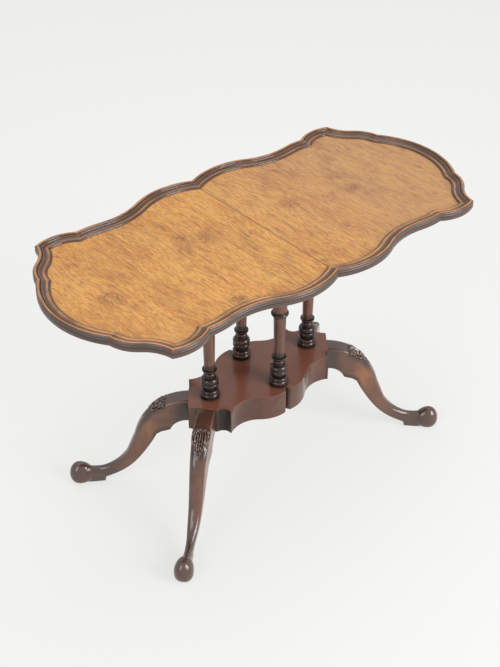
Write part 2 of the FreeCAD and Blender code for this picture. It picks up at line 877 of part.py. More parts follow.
def leg_side_profile(size, levels):
    """The leg from the side: x runs out from the seat and y up from the floor."""
    top = size.platform_top - size.leg_top_step
    spring = levels.platform + size.leg_spring_step
    seat_foot = Point(ZERO, spring)
    arch_end = Point(size.leg_arch_reach, spring - size.leg_arch_drop)
    tab = Point(size.leg_tab_reach, spring - size.leg_tab_drop)
    knee_back = Point(size.leg_knee_back_reach, spring - size.leg_knee_back_drop)
    calf = Point(size.leg_calf_reach, size.leg_calf_height)
    heel = Point(size.leg_heel_reach, size.leg_heel_height)
    sole_start = Point(size.leg_sole_reach, ZERO)
    sole_end = Point(size.foot_reach, ZERO)
    foot_middle = Point(size.foot_reach, size.leg_instep_height)
    instep = Point(size.leg_instep_reach, size.leg_instep_height)
    shin = Point(size.leg_shin_reach, size.leg_shin_height)
    knee = Point(size.leg_knee_reach, top - size.leg_knee_drop)
    shoulder = Point(size.leg_shoulder_reach, top - size.leg_shoulder_drop)
    seat_head = Point(ZERO, top)
    return [
        arc(seat_foot, arch_end, size.leg_arch_rise, side=-1),
        straight(arch_end, tab),
        straight(tab, knee_back),
        arc(knee_back, calf, size.leg_calf_rise),
        arc(calf, heel, size.leg_heel_rise),
        straight(heel, sole_start),
        straight(sole_start, sole_end),
        straight(sole_end, foot_middle),
        straight(foot_middle, instep),
        arc(instep, shin, size.leg_instep_rise, side=-1),
        straight(shin, knee),
        arc(knee, shoulder, size.leg_knee_rise),
        arc(shoulder, seat_head, size.leg_shoulder_rise),
        straight(seat_head, seat_foot),
    ]


def leg_taper(size):
    """What is cut from the left side of a leg, seen from above, to taper it."""
    half_width = size.leg_width / 2
    ankle = size.leg_ankle_width / 2
    start = Point(size.leg_taper_reach, half_width)
    instep = Point(size.leg_instep_reach, ankle)
    return [
        arc(start, instep, size.leg_taper_rise, side=-1),
    ] + chain(
        [
            instep,
            Point(size.foot_reach + size.leg_width, ankle),
            Point(size.foot_reach + size.leg_width, size.leg_width),
            Point(size.leg_taper_reach, size.leg_width),
            start,
        ]
    )


def ball_foot_profile(size):
    """Half the section of the ball foot, with a small flat at its sole and at its crown."""
    sole = Point(size.foot_sole_radius, ZERO)
    crown = Point(size.foot_crown_radius, size.foot_height)
    rise = size.foot_radius - middle(sole, crown).x
    crown_centre = Point(ZERO, size.foot_height)
    return [arc(sole, crown, rise)] + chain([crown, crown_centre, Point(ZERO, ZERO), sole])


def make_leg(doc, size, levels, name, centre, angle):
    """A cabriole leg: its seat stands on the body's YZ plane and its foot on the floor."""
    body = new_body(doc, f"leg_{name}")
    profile = new_sketch(body, "SideProfile", "XZ_Plane")
    draw_outline(profile, leg_side_profile(size, levels))
    pad(body, profile, size.leg_width, both_ways=True)
    for x_sign, y_sign in ((1, 1), (1, -1)):
        taper = new_sketch(body, "Taper")
        draw_outline(taper, mirrored(leg_taper(size), x_sign, y_sign))
        pocket(body, taper, size.platform_top, reverse=True)
    holes = new_sketch(body, "DowelHoles", "YZ_Plane")
    bind(holes, "AttachmentOffset.Base.y", levels.platform + size.platform_thickness / 2)
    draw_circles(holes, dowel_heights(size), size.dowel_radius + size.joint_clearance)
    pocket(body, holes, dowel_hole_depth(size), reverse=True)
    ball = new_sketch(body, "FootProfile", "XZ_Plane")
    bind(ball, "AttachmentOffset.Base.x", size.foot_reach)
    draw_outline(ball, ball_foot_profile(size))
    turn_on_lathe(body, ball)
    body.Placement.Rotation = FreeCAD.Rotation(UP, angle.value)
    place(body, centre.x, centre.y)
    bind(body, "Placement.Rotation.Angle", angle)
    return body


def make_dowels(doc, size, levels):
    """Two dowels between the platform and each leg."""
    dowels = []
    middle_height = levels.platform + size.platform_thickness / 2
    for name, centre, angle in leg_seats(size):
        for spot in dowel_heights(size):
            body = new_body(doc, "leg_dowel")
            sketch = facing_sketch(body, "DowelSection", centre, middle_height, angle)
            draw_circles(sketch, [spot], size.dowel_radius)
            pad(body, sketch, size.dowel_length, both_ways=True)
            dowels.append(body)
    group = doc.addObject("Part::Compound", "leg_dowels")
    group.Label = "leg_dowels"
    group.Links = dowels
    return group


# ---------------------------------------------------------------- the table


def stacked_levels(size):
    """The height of the underside of each layer, worked down from the rim's crest."""
    rim = size.table_height - size.rim_height
    veneer = rim - size.veneer_thickness
    board = veneer - size.board_thickness
    bearer = board - size.bearer_thickness
    platform = size.platform_top - size.platform_thickness
    return SimpleNamespace(rim=rim, veneer=veneer, board=board, bearer=bearer, platform=platform)


def make_table(doc):
    size = read_sizes(doc)
    levels = stacked_levels(size)
    quarter = top_quarter(size)
    parts = [
        make_ground_board(doc, size, levels, quarter),
        make_veneer(doc, size, levels, quarter, "veneer_right", 1),
        make_veneer(doc, size, levels, quarter, "veneer_left", -1),
        make_bearer_block(doc, size, levels),
        make_screws(doc, size, levels),
        make_platform(doc, size, levels),
        make_dowels(doc, size, levels),
    ]
    parts += make_rim(doc, size, levels, quarter)
    for side, centre in column_places(size).items():
        parts.append(make_column(doc, size, levels, side, centre))
    for name, centre, angle in leg_seats(size):
        parts.append(make_leg(doc, size, levels, name, centre, angle))
    return parts


def check_and_export(doc, parts):
    """Stop if anything failed to compute, and then write one file for each sub-part."""
    for item in doc.Objects:
        if "Invalid" in item.State or "Error" in item.State:
            raise RuntimeError(f"{item.Label} did not compute: {item.State}")
    for part in parts:
        if part.Shape.isNull() or not part.Shape.isValid():
            raise RuntimeError(f"{part.Label} has no valid shape")
    os.makedirs("parts", exist_ok=True)
    for part in parts:
        part.Shape.exportStep(f"parts/{part.Label}.step")
        box = part.Shape.BoundBox
        print(
            f"{part.Label}: {len(part.Shape.Solids)} solids, {part.Shape.Volume / 1000:.1f} cm3, "
            f"x {box.XMin:.1f}..{box.XMax:.1f}, y {box.YMin:.1f}..{box.YMax:.1f}, "
            f"z {box.ZMin:.1f}..{box.ZMax:.1f}"
        )


document = FreeCAD.newDocument("TrayTopTeaTable")
table_parts = make_table(document)
document.recompute()
check_and_export(document, table_parts)
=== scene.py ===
"""Tray top tea table: its moulded, turned, shaped and carved wood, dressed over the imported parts.

Metres, +Z up, with the origin on the floor under the middle of the top, and +X along its length.
"""
import math
from collections import namedtuple
from functools import reduce
from itertools import accumulate

import bmesh
import bpy
from bpy.props import FloatProperty, FloatVectorProperty, IntProperty, PointerProperty
from mathutils import Matrix, Vector


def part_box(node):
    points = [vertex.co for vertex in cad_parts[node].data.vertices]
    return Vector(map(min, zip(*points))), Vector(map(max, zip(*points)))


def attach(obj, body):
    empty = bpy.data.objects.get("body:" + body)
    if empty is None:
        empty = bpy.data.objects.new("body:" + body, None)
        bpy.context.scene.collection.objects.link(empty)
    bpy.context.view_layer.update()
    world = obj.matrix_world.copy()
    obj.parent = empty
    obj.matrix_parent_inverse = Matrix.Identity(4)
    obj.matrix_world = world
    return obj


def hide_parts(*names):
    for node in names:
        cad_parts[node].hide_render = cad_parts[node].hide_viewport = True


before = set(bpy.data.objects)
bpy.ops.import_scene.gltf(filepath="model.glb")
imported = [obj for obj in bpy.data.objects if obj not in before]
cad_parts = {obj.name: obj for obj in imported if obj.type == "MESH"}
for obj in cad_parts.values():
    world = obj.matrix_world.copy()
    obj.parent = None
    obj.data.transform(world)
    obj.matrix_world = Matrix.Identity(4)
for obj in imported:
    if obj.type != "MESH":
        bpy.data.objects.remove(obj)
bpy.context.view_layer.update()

bl_info = {
    "name": "Tray Top Tea Table",
    "version": (1, 0, 0),
    "blender": (4, 5, 0),
    "location": "3D View > Sidebar > Tea Table",
    "description": "Models and finishes a tea table with a scalloped tray top and cabriole legs",
    "category": "Add Mesh",
}

UP = Vector((0, 0, 1))
UPRIGHT = Matrix.Rotation(math.radians(90), 4, "X")      # stands a drawing on the XY plane upright
QUARTERS = (
    ("back_right", 1, 1),
    ("back_left", -1, 1),
    ("front_left", -1, -1),
    ("front_right", 1, -1),
)
SHARP_ANGLE = math.radians(32)
MERGE_DISTANCE = 1e-6


# ---------------------------------------------------------------- settings


def length(label, millimetres, description):
    """A length, whose default is given in millimetres."""
    return FloatProperty(
        name=label,
        description=description,
        default=millimetres / 1000,
        unit="LENGTH",
        subtype="DISTANCE",
        precision=4,
    )


def colour(label, red, green, blue, description):
    """A colour, whose default is given as linear red, green and blue."""
    return FloatVectorProperty(
        name=label,
        description=description,
        default=(red, green, blue),
        subtype="COLOR",
        min=0,
        max=1,
    )


def angle(label, degrees, description):
    """An angle, whose default is given in degrees."""
    return FloatProperty(
        name=label,
        description=description,
        default=math.radians(degrees),
        unit="ROTATION",
        subtype="ANGLE",
    )


class TrayOutline(bpy.types.PropertyGroup):
    """The scalloped outline: insets are from the end, drops from the side lobes' crest."""

    side_notch_drop: length("Side notch", 15, "Depth of the notch in the middle of each side")
    side_crest_reach: length("Lobe reach", 66, "From the middle of a side to a lobe's crest")
    side_hollow_drop: length("Hollow", 29.4, "Lowest point of the hollow beside the lobe")
    side_swell_run: length("Swell run", 54, "From the hollow to the small swell beyond it")
    side_swell_drop: length("Swell", 24.7, "The small swell below the lobe's crest")
    corner_cusp_run: length("Corner cusp run", 18, "From the swell to the corner's cusp")
    corner_cusp_drop: length("Corner cusp", 25.7, "The corner's cusp below the lobe's crest")
    corner_length: length("Corner length", 79, "From the corner's cusp to its tip")
    corner_rise: length("Corner rise", 10.5, "Rise of the corner's arc over its chord")
    tip_inset: length("Tip inset", 87.5, "The tip of a corner, in from the end")
    tip_drop: length("Tip drop", 19.6, "The tip of a corner below the lobe's crest")
    end_shoulder_rise: length("Shoulder rise", 5, "Rise of the arcs between tip and end cusp")
    end_cusp_inset: length("End cusp inset", 34.5, "The end's cusp, in from the end")
    end_cusp_drop: length("End cusp drop", 108.5, "The end's cusp below the lobe's crest")
    board_arris: length("Board arris", 3.2, "Radius of the rounded lower edge of the board")


class RimMoulding(bpy.types.PropertyGroup):
    """The section of the rim: widths run in from the outer edge and heights up from the veneer."""

    quirk_depth: length("Quirk depth", 0.8, "The fine sunk line below the crest")
    quirk_height: length("Quirk height", 1.6, "Height of the sunk line")
    edge_band_height: length("Edge band", 0.8, "Plain edge below the sunk line")
    crest_peak_inset: length("Crest inset", 4, "From the outer edge to the top of the crest")
    crest_outer_rise: length("Crest outer rise", 2.2, "Roundness of the crest's outer face")
    crest_inner_rise: length("Crest inner rise", 0.95, "Roundness of the crest's inner face")
    crest_width: length("Crest width", 7, "Width of the crest")
    groove_height: length("Groove height", 4.8, "The groove behind the crest")
    groove_width: length("Groove width", 0.8, "Width of the groove")
    thin_bead_width: length("Thin bead width", 3, "Width of the thin bead")
    thin_bead_rise: length("Thin bead rise", 1.1, "Rise of the thin bead")
    cove_foot_height: length("Cove foot", 1.8, "Height of the cove's foot")
    cove_rise: length("Cove rise", 0.9, "Hollowness of the cove")
    inner_bead_width: length("Inner bead width", 4.6, "Width of the inner bead")
    inner_bead_rise: length("Inner bead rise", 1.6, "Rise of the inner bead")
    fillet_width: length("Fillet width", 1.6, "The flat strip beside the panel")
    fillet_height: length("Fillet height", 0.8, "Height of the flat strip")
    worn_arris: length("Worn arris", 0.3, "Radius worn on each corner of the section")


class ColumnTurning(bpy.types.PropertyGroup):
    """Radii and heights of a turned column, from the platform up."""

    tenon_foot_radius: length("Foot tenon radius", 8, "Round tenon in the platform")
    tenon_foot_length: length("Foot tenon length", 30, "Depth of the foot tenon")
    tenon_head_radius: length("Head tenon radius", 7, "Round tenon in the bearer block")
    tenon_head_length: length("Head tenon length", 15, "Depth of the head tenon")
    foot_ring_height: length("Foot ring height", 19, "The ring on the platform")
    foot_ring_radius: length("Foot ring radius", 17.5, "The ring at its widest")
    foot_ring_seat: length("Foot ring seat", 11.8, "The ring at its top and bottom")
    neck_height: length("Neck height", 3.5, "The neck between ring and bulb")
    neck_radius: length("Neck radius", 9.9, "The necks")
    bulb_height: length("Bulb height", 23.5, "The bulb")
    bulb_radius: length("Bulb radius", 16, "The bulb at its widest")
    bead_seat_height: length("Bead seat", 3, "The neck between bulb and bead")
    bead_height: length("Bead height", 5.5, "The bead")
    bead_radius: length("Bead radius", 11.2, "The bead at its widest")
    cup_height: length("Cup height", 6, "The flared cup")
    cup_radius: length("Cup radius", 13.8, "The rim of the cup")
    cup_hollow_rise: length("Cup hollow", 1.1, "Hollowness of the cup's flare")
    cup_lip_height: length("Cup lip", 3, "The upright lip of the cup")
    shaft_foot_radius: length("Shaft foot", 9.7, "The shaft above the cup")
    shaft_head_radius: length("Shaft head", 11.8, "The shaft below the band")
    shaft_length: length("Shaft length", 93.5, "From the cup to the band")
    band_height: length("Band height", 8, "The band round the column")
    band_radius: length("Band radius", 16.5, "The band at its widest")
    band_seat: length("Band seat", 13.3, "The band at its top and bottom")
    upper_shaft_head: length("Upper shaft", 12, "The upper shaft under the cap")
    cap_height: length("Cap height", 12.5, "The cap under the bearer block")
    cap_radius: length("Cap radius", 16, "The cap")
    ring_crown_radius: length("Ring crown radius", 16.7, "The upper round of the ring")
    waist_depth: length("Waist depth", 0.7, "Where the two rounds of the bulb or the ring meet")
    arris: length("Turned arris", 0.3, "Radius left on each turned corner")
    steps: IntProperty(name="Steps", description="Steps round a column", default=72, min=16)


class PlatformShape(bpy.types.PropertyGroup):
    """The outline of the platform, from its right point to the notch in its back side."""

    width: length("Width", 165, "From lip to lip")
    notch_depth: length("Notch depth", 9.5, "Depth of the side notch")
    notch_width: length("Notch width", 12, "The side notch between its lips")
    lobe_reach: length("Lobe reach", 58, "From the middle to the foot of a side lobe")
    lobe_drop: length("Lobe drop", 16.3, "The lobe's foot below its lip")
    lobe_rise: length("Lobe rise", 5.7, "Rise of the lobe's arc")
    hollow_rise: length("Hollow rise", 10.5, "Hollowness beside the lobe")
    hip_run: length("Hip run", 15.7, "From the edge of a leg's seat to the hip's point")
    hip_drop: length("Hip drop", 20, "The hip's point below the lip")
    cove_rise: length("Cove rise", 6.5, "Hollowness of the cove beside a leg")
    arris: length("Arris", 0.5, "Radius of the upper and lower edges")
    point_arris: length("Point arris", 1.3, "How far each upright edge is rounded")


class LegShape(bpy.types.PropertyGroup):
    """A cabriole leg: reaches run out from its seat, heights up from the floor."""

    angle_in_plan: angle("Angle", 39.3, "The leg in plan, from the length of the table")
    seat_from_point: length("Seat", 34.9, "Along the seat, from the platform's point")
    seat_margin: length("Seat margin", 3, "Of the platform beside the leg")
    width: length("Width", 33.5, "Width of the leg at its seat")
    top_step: length("Top step", 1.5, "The leg's top below the platform's")
    spring_step: length("Spring step", 2.5, "The arch's spring above the platform's underside")
    arch_reach: length("Arch reach", 35.5, "End of the arch under the leg")
    arch_drop: length("Arch drop", 22, "End of the arch below its spring")
    arch_rise: length("Arch rise", 7.7, "Hollowness of the arch")
    tab_reach: length("Tab reach", 52.5, "The tab behind the knee")
    tab_drop: length("Tab drop", 27, "The tab below the arch's spring")
    knee_back_reach: length("Knee back reach", 62, "Where the back of the knee starts")
    knee_back_drop: length("Knee back drop", 34.5, "Below the arch's spring")
    taper_reach: length("Taper reach", 50, "Where the leg starts to narrow")
    shoulder_reach: length("Shoulder reach", 68, "Where the leg starts to fall")
    shoulder_drop: length("Shoulder drop", 24, "Below the leg's top")
    shoulder_rise: length("Shoulder rise", 5.5, "Roundness of the top of the knee")
    knee_reach: length("Knee reach", 105, "End of the knee's curve")
    knee_drop: length("Knee drop", 90, "Below the leg's top")
    knee_rise: length("Knee rise", 5, "Roundness of the knee")
    calf_reach: length("Calf reach", 97, "End of the calf's upper curve")
    calf_height: length("Calf height", 69, "Its height")
    calf_rise: length("Calf rise", 1.7, "Roundness of the upper calf")
    shin_reach: length("Shin reach", 121.5, "Start of the instep's curve")
    shin_height: length("Shin height", 81, "Its height")
    instep_reach: length("Instep reach", 166.5, "End of the instep's curve")
    instep_height: length("Instep height", 40, "Top of the foot's neck")
    instep_rise: length("Instep rise", 5.5, "Hollowness of the instep")
    waist_reach: length("Waist reach", 181, "The lowest place of the foot's neck")
    waist_height: length("Waist height", 37.2, "Its height")
    waist_rise: length("Waist rise", 0.7, "Hollowness of the neck")
    heel_reach: length("Heel reach", 166, "The heel behind the foot")
    heel_height: length("Heel height", 13, "The heel above the floor")
    heel_rise: length("Heel rise", 6.2, "Roundness of the lower calf")
    sole_reach: length("Sole reach", 168.2, "Where the sole starts")
    sole_lift: length("Sole lift", 2.5, "The start of the sole above the floor")
    taper_fullness: length("Taper fullness", 0.5, "Roundness of the taper on each side")
    ankle_width: length("Ankle width", 15.5, "Width of the foot's neck")
    ankle_waist: length("Ankle waist", 1.4, "How much narrower the ankle is, above the neck")
    foot_reach: length("Foot reach", 218, "To the middle of the ball foot")
    foot_width: length("Foot width", 35.6, "The ball foot from side to side")
    foot_front: length("Foot front", 18.8, "The ball foot in front of its middle")
    foot_back: length("Foot back", 28, "The ball foot behind its middle")
    foot_height: length("Foot height", 47, "The ball foot")
    foot_swell: length("Foot swell", 20, "Height of the ball foot's widest place")
    foot_crease: length("Foot crease", 1.4, "Softness of the crease round the ball foot")
    carving_start: length("Carving start", 43.5, "Along the knee, where the carving starts")
    carving_depth: length("Carving depth", 1.9, "Relief of the carved leaf")
    loft_step: length("Loft step", 2.4, "Spacing of the sections along the leg")
    carved_step: length("Carved step", 0.9, "Spacing of the sections along the carving")
    steps: IntProperty(name="Steps", description="Steps round a leg", default=128, min=16)


class WoodFinish(bpy.types.PropertyGroup):
    """The colours of the woods, of their wear, of the old polish in their hollows, and of the light
    and shade painted on them.
    """

    honey: colour("Honey", 0.67, 0.29, 0.062, "Light figure of the panel")
    amber: colour("Amber", 0.5, 0.18, 0.036, "Darker figure of the panel")
    straw: colour("Straw", 0.76, 0.41, 0.11, "Palest streaks of the panel")
    pore: colour("Pore", 0.16, 0.066, 0.026, "Open pores and dark flecks")
    burr: colour("Burr", 0.27, 0.105, 0.045, "Curls of burr in the panel")
    rim_worn: colour("Worn rim", 0.4, 0.15, 0.045, "Crest where hands have worn it")
    rim_gold: colour("Rim bead", 0.62, 0.3, 0.1, "The inner bead, rubbed to the wood")
    # Painted grey sheen on the outer sides of the top, standing for the floor's reflection.
    painted_edge_sheen: colour("Painted edge sheen", 0.085, 0.07, 0.06, "Outer sides of the top, never polished")
    # Painted light: a rosy sheen laid over the red of the platform's top.
    rosy: colour("Rosy", 0.26, 0.1, 0.067, "Red of the platform's top")
    # The right leaf's paler veneer, with a painted sheen that grows towards its end.
    dusk: colour("Dusk", 0.38, 0.22, 0.135, "The paler, duller leaf of the panel")
    # Painted glow, brightest on the flanks just past the knee.
    ember: colour("Ember", 0.4, 0.145, 0.04, "Brightest rubbed places of the legs")
    rim_body: colour("Rim", 0.115, 0.045, 0.021, "The rim's own brown")
    # Blackened old polish in grooves and necks, and also the colour of painted shade in hollows,
    # coves and joins.
    old_polish_and_shade: colour("Old polish", 0.016, 0.01, 0.008, "Blackened polish in grooves and necks")
    russet: colour("Russet", 0.095, 0.027, 0.013, "Red-brown of shafts and platform")
    chestnut: colour("Chestnut", 0.15, 0.05, 0.02, "Lighter red-brown figure")
    # Dark brown figure, and also the colour of painted shade on the platform's sides and at the
    # legs' hips.
    umber: colour("Umber", 0.042, 0.017, 0.011, "Dark brown figure")
    # Painted shade on the feet and at the seats of the legs.
    foot: colour("Foot", 0.036, 0.018, 0.013, "Feet and seats, darkened by floor wax")
    # Painted sheen: an even grey reflection laid over the dark woods.
    haze: colour("Haze", 0.2, 0.185, 0.18, "Grey bloom of old wax over the dark woods")
    # Ridges of the carving rubbed bare, with a painted highlight on them.
    silver: colour("Carved ridge", 0.36, 0.25, 0.19, "Ridges of the carving, rubbed bare")
    # Painted glow on the middles of the legs' flanks and in streaks on the shafts, and also the
    # colour of rubbed edges.
    glow: colour("Glow", 0.235, 0.082, 0.028, "Rubbed flanks of the legs")
    bare: colour("Unpolished", 0.2, 0.12, 0.065, "Underside and hidden timber")
    dowel: colour("Dowel", 0.42, 0.28, 0.15, "The dowels")
    brass: colour("Brass", 0.5, 0.36, 0.15, "The screws")


class StudioStage(bpy.types.PropertyGroup):
    """Camera, lamps and floor."""

    camera_place: FloatVectorProperty(
        name="Camera", description="Where the camera stands", default=(-1.1326, -1.29, 1.5872),
        subtype="TRANSLATION", unit="LENGTH",
    )
    camera_heading: angle("Heading", -40.662, "The camera's turn from looking along +Y")
    camera_tilt: angle("Tilt", 36.891, "How far the camera looks down")
    camera_roll: angle("Roll", 0.142, "The camera's roll")
    camera_lens: FloatProperty(
        name="Lens", description="Focal length in millimetres", default=62.01, min=1
    )
    floor_size: length("Floor", 12000, "Length of each side of the floor")
    # Painted shade on the floor in front and painted light behind.
    floor_near: colour("Floor, near", 0.873, 0.873, 0.848, "The floor in front")
    floor_far: colour("Floor, far", 0.915, 0.915, 0.9, "The floor behind")
    floor_shadow: FloatProperty(
        name="Shadow", description="Share of real shadow that the floor keeps", default=0.25,
        min=0, max=1, subtype="FACTOR",
    )
    room: colour("Room", 0.87, 0.87, 0.86, "The pale room that the polish reflects")
    room_light: FloatProperty(
        name="Room light", description="Strength of the light from all round", default=0.6, min=0
    )


SETTINGS = {
    "tray_outline": TrayOutline,
    "rim_moulding": RimMoulding,
    "column_turning": ColumnTurning,
    "platform_shape": PlatformShape,
    "leg_shape": LegShape,
    "wood_finish": WoodFinish,
    "studio_stage": StudioStage,
}


# ---------------------------------------------------------------- outlines

Stretch = namedtuple("Stretch", "start end rise")     # no rise is straight, below zero is hollow
Circle = namedtuple("Circle", "centre radius sense turn")


def spot(across, up=0.0):
    return Vector((across, up, 0))


def chain(*points):
    """Straight stretches through the points in turn."""
    return [Stretch(start, end, 0) for start, end in zip(points, points[1:])]


def level_arc(start, end, drop, side=1):
    """An arc that runs level at one end, which the drop parts from the other."""
    half_chord = (end - start).length / 2
    radius = (end - start).length_squared / (2 * drop)
    return Stretch(start, end, side * (radius - math.sqrt(radius**2 - half_chord**2)))


def mirrored(stretches, x_sign, y_sign):
    """The same run of stretches in another quadrant, still travelled anticlockwise."""
    flip = Vector((x_sign, y_sign, 1))
    run = [Stretch(start * flip, end * flip, rise) for start, end, rise in stretches]
    if x_sign == y_sign:
        return run
    return [Stretch(end, start, rise) for start, end, rise in reversed(run)]


def circle_of(stretch):
    """The circle of an arc: it turns anticlockwise where the arc stands out to its right."""
    way = stretch.end - stretch.start
    rise = abs(stretch.rise)
    sense = math.copysign(1, stretch.rise)
    radius = (way.length_squared / 4 + rise * rise) / (2 * rise)
    outward = Vector((way.y, -way.x, 0)).normalized()
    centre = (stretch.start + stretch.end) / 2 + outward * sense * (rise - radius)
    return Circle(centre, radius, sense, 2 * math.atan2(way.length / 2, radius - rise))


def outward_at(stretch, point):
    """The direction straight out of an outline at one end of an arc."""
    circle = circle_of(stretch)
    return (point - circle.centre).normalized() * circle.sense


def stretch_length(stretch):
    if not stretch.rise:
        return (stretch.end - stretch.start).length
    circle = circle_of(stretch)
    return circle.radius * circle.turn


def point_along(stretches, distance):
    """The point at a distance along a run of stretches."""
    for stretch in stretches:
        span = stretch_length(stretch)
        if distance <= span or stretch is stretches[-1]:
            break
        distance -= span
    share = distance / span
    if not stretch.rise:
        return stretch.start.lerp(stretch.end, share)
    circle = circle_of(stretch)
    turn = Matrix.Rotation(circle.sense * circle.turn * share, 3, UP)
    return circle.centre + turn @ (stretch.start - circle.centre)


# ---------------------------------------------------------------- meshes


def draw(mesh, stretches, step, closed=False):
    """Draw a run of stretches as a chain of edges on the XY plane."""
    run = [mesh.verts.new(stretches[0].start)]
    for stretch in stretches:
        known = len(mesh.verts)
        if stretch.rise:
            circle = circle_of(stretch)
            bmesh.ops.spin(
                mesh,
                geom=[run[-1]],
                cent=circle.centre,
                axis=UP * circle.sense,
                angle=circle.turn,
                steps=max(3, math.ceil(circle.radius * circle.turn / step)),
            )
        else:
            bmesh.ops.extrude_vert_indiv(mesh, verts=[run[-1]])
        mesh.verts.ensure_lookup_table()
        run += mesh.verts[known:]
        run[-1].co = stretch.end
    if closed:
        bmesh.ops.weld_verts(mesh, targetmap={run.pop(): run[0]})


def soften_corners(mesh, radius):
    """Round the corners of a drawn section."""
    corners = []
    for vert in mesh.verts:
        if len(vert.link_edges) == 2:
            ways = [edge.other_vert(vert).co - vert.co for edge in vert.link_edges]
            if ways[0].angle(-ways[1]) > SHARP_ANGLE:
                corners.append(vert)
    bevel(mesh, corners, radius, segments=2, affect="VERTICES")


def bevel(mesh, geometry, radius, segments, affect="EDGES"):
    bmesh.ops.bevel(
        mesh,
        geom=geometry,
        offset=radius,
        offset_type="OFFSET",
        affect=affect,
        segments=segments,
        profile=0.5,
        material=-1,
        clamp_overlap=affect == "VERTICES",
    )


def verts_of(items):
    return [item for item in items if isinstance(item, bmesh.types.BMVert)]


def raise_slab(mesh, low, high):
    """Fill a drawn outline and make it a slab between two heights."""
    bmesh.ops.contextual_create(mesh, geom=mesh.edges[:])
    raised = bmesh.ops.extrude_face_region(mesh, geom=mesh.faces[:])["geom"]
    bmesh.ops.translate(mesh, vec=UP * (high - low), verts=verts_of(raised))
    bmesh.ops.translate(mesh, vec=UP * low, verts=mesh.verts[:])


def finish_piece(mesh, name, nodes, material):
    """Turn a finished bmesh into a piece that rides with the table and stands for its nodes."""
    bmesh.ops.remove_doubles(mesh, verts=mesh.verts[:], dist=MERGE_DISTANCE)
    bmesh.ops.recalc_face_normals(mesh, faces=mesh.faces[:])
    data = bpy.data.meshes.new(name)
    mesh.to_mesh(data)
    mesh.free()
    data.polygons.foreach_set("use_smooth", [True] * len(data.polygons))
    data.set_sharp_from_angle(angle=SHARP_ANGLE)
    data.materials.append(material)
    piece = bpy.data.objects.new(name, data)
    bpy.context.scene.collection.objects.link(piece)
    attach(piece, "root")
    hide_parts(*nodes)
    return piece


def flatten_shading(piece):
    """Let the large flat faces of a piece set the shading of the eased edges beside them."""
    weighted = piece.modifiers.new("flat faces", "WEIGHTED_NORMAL")
    weighted.keep_sharp = True


def refinish_node(name, material):
    """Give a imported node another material."""
    for material_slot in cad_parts[name].material_slots:
        material_slot.material = material


# ---------------------------------------------------------------- node trees

MIX_SHARE, MIX_FIRST, MIX_SECOND, MIX_RESULT = 0, 6, 7, 2      # colour sockets of a Mix node
EVERYWHERE = 1.0             # a mask that covers the whole surface


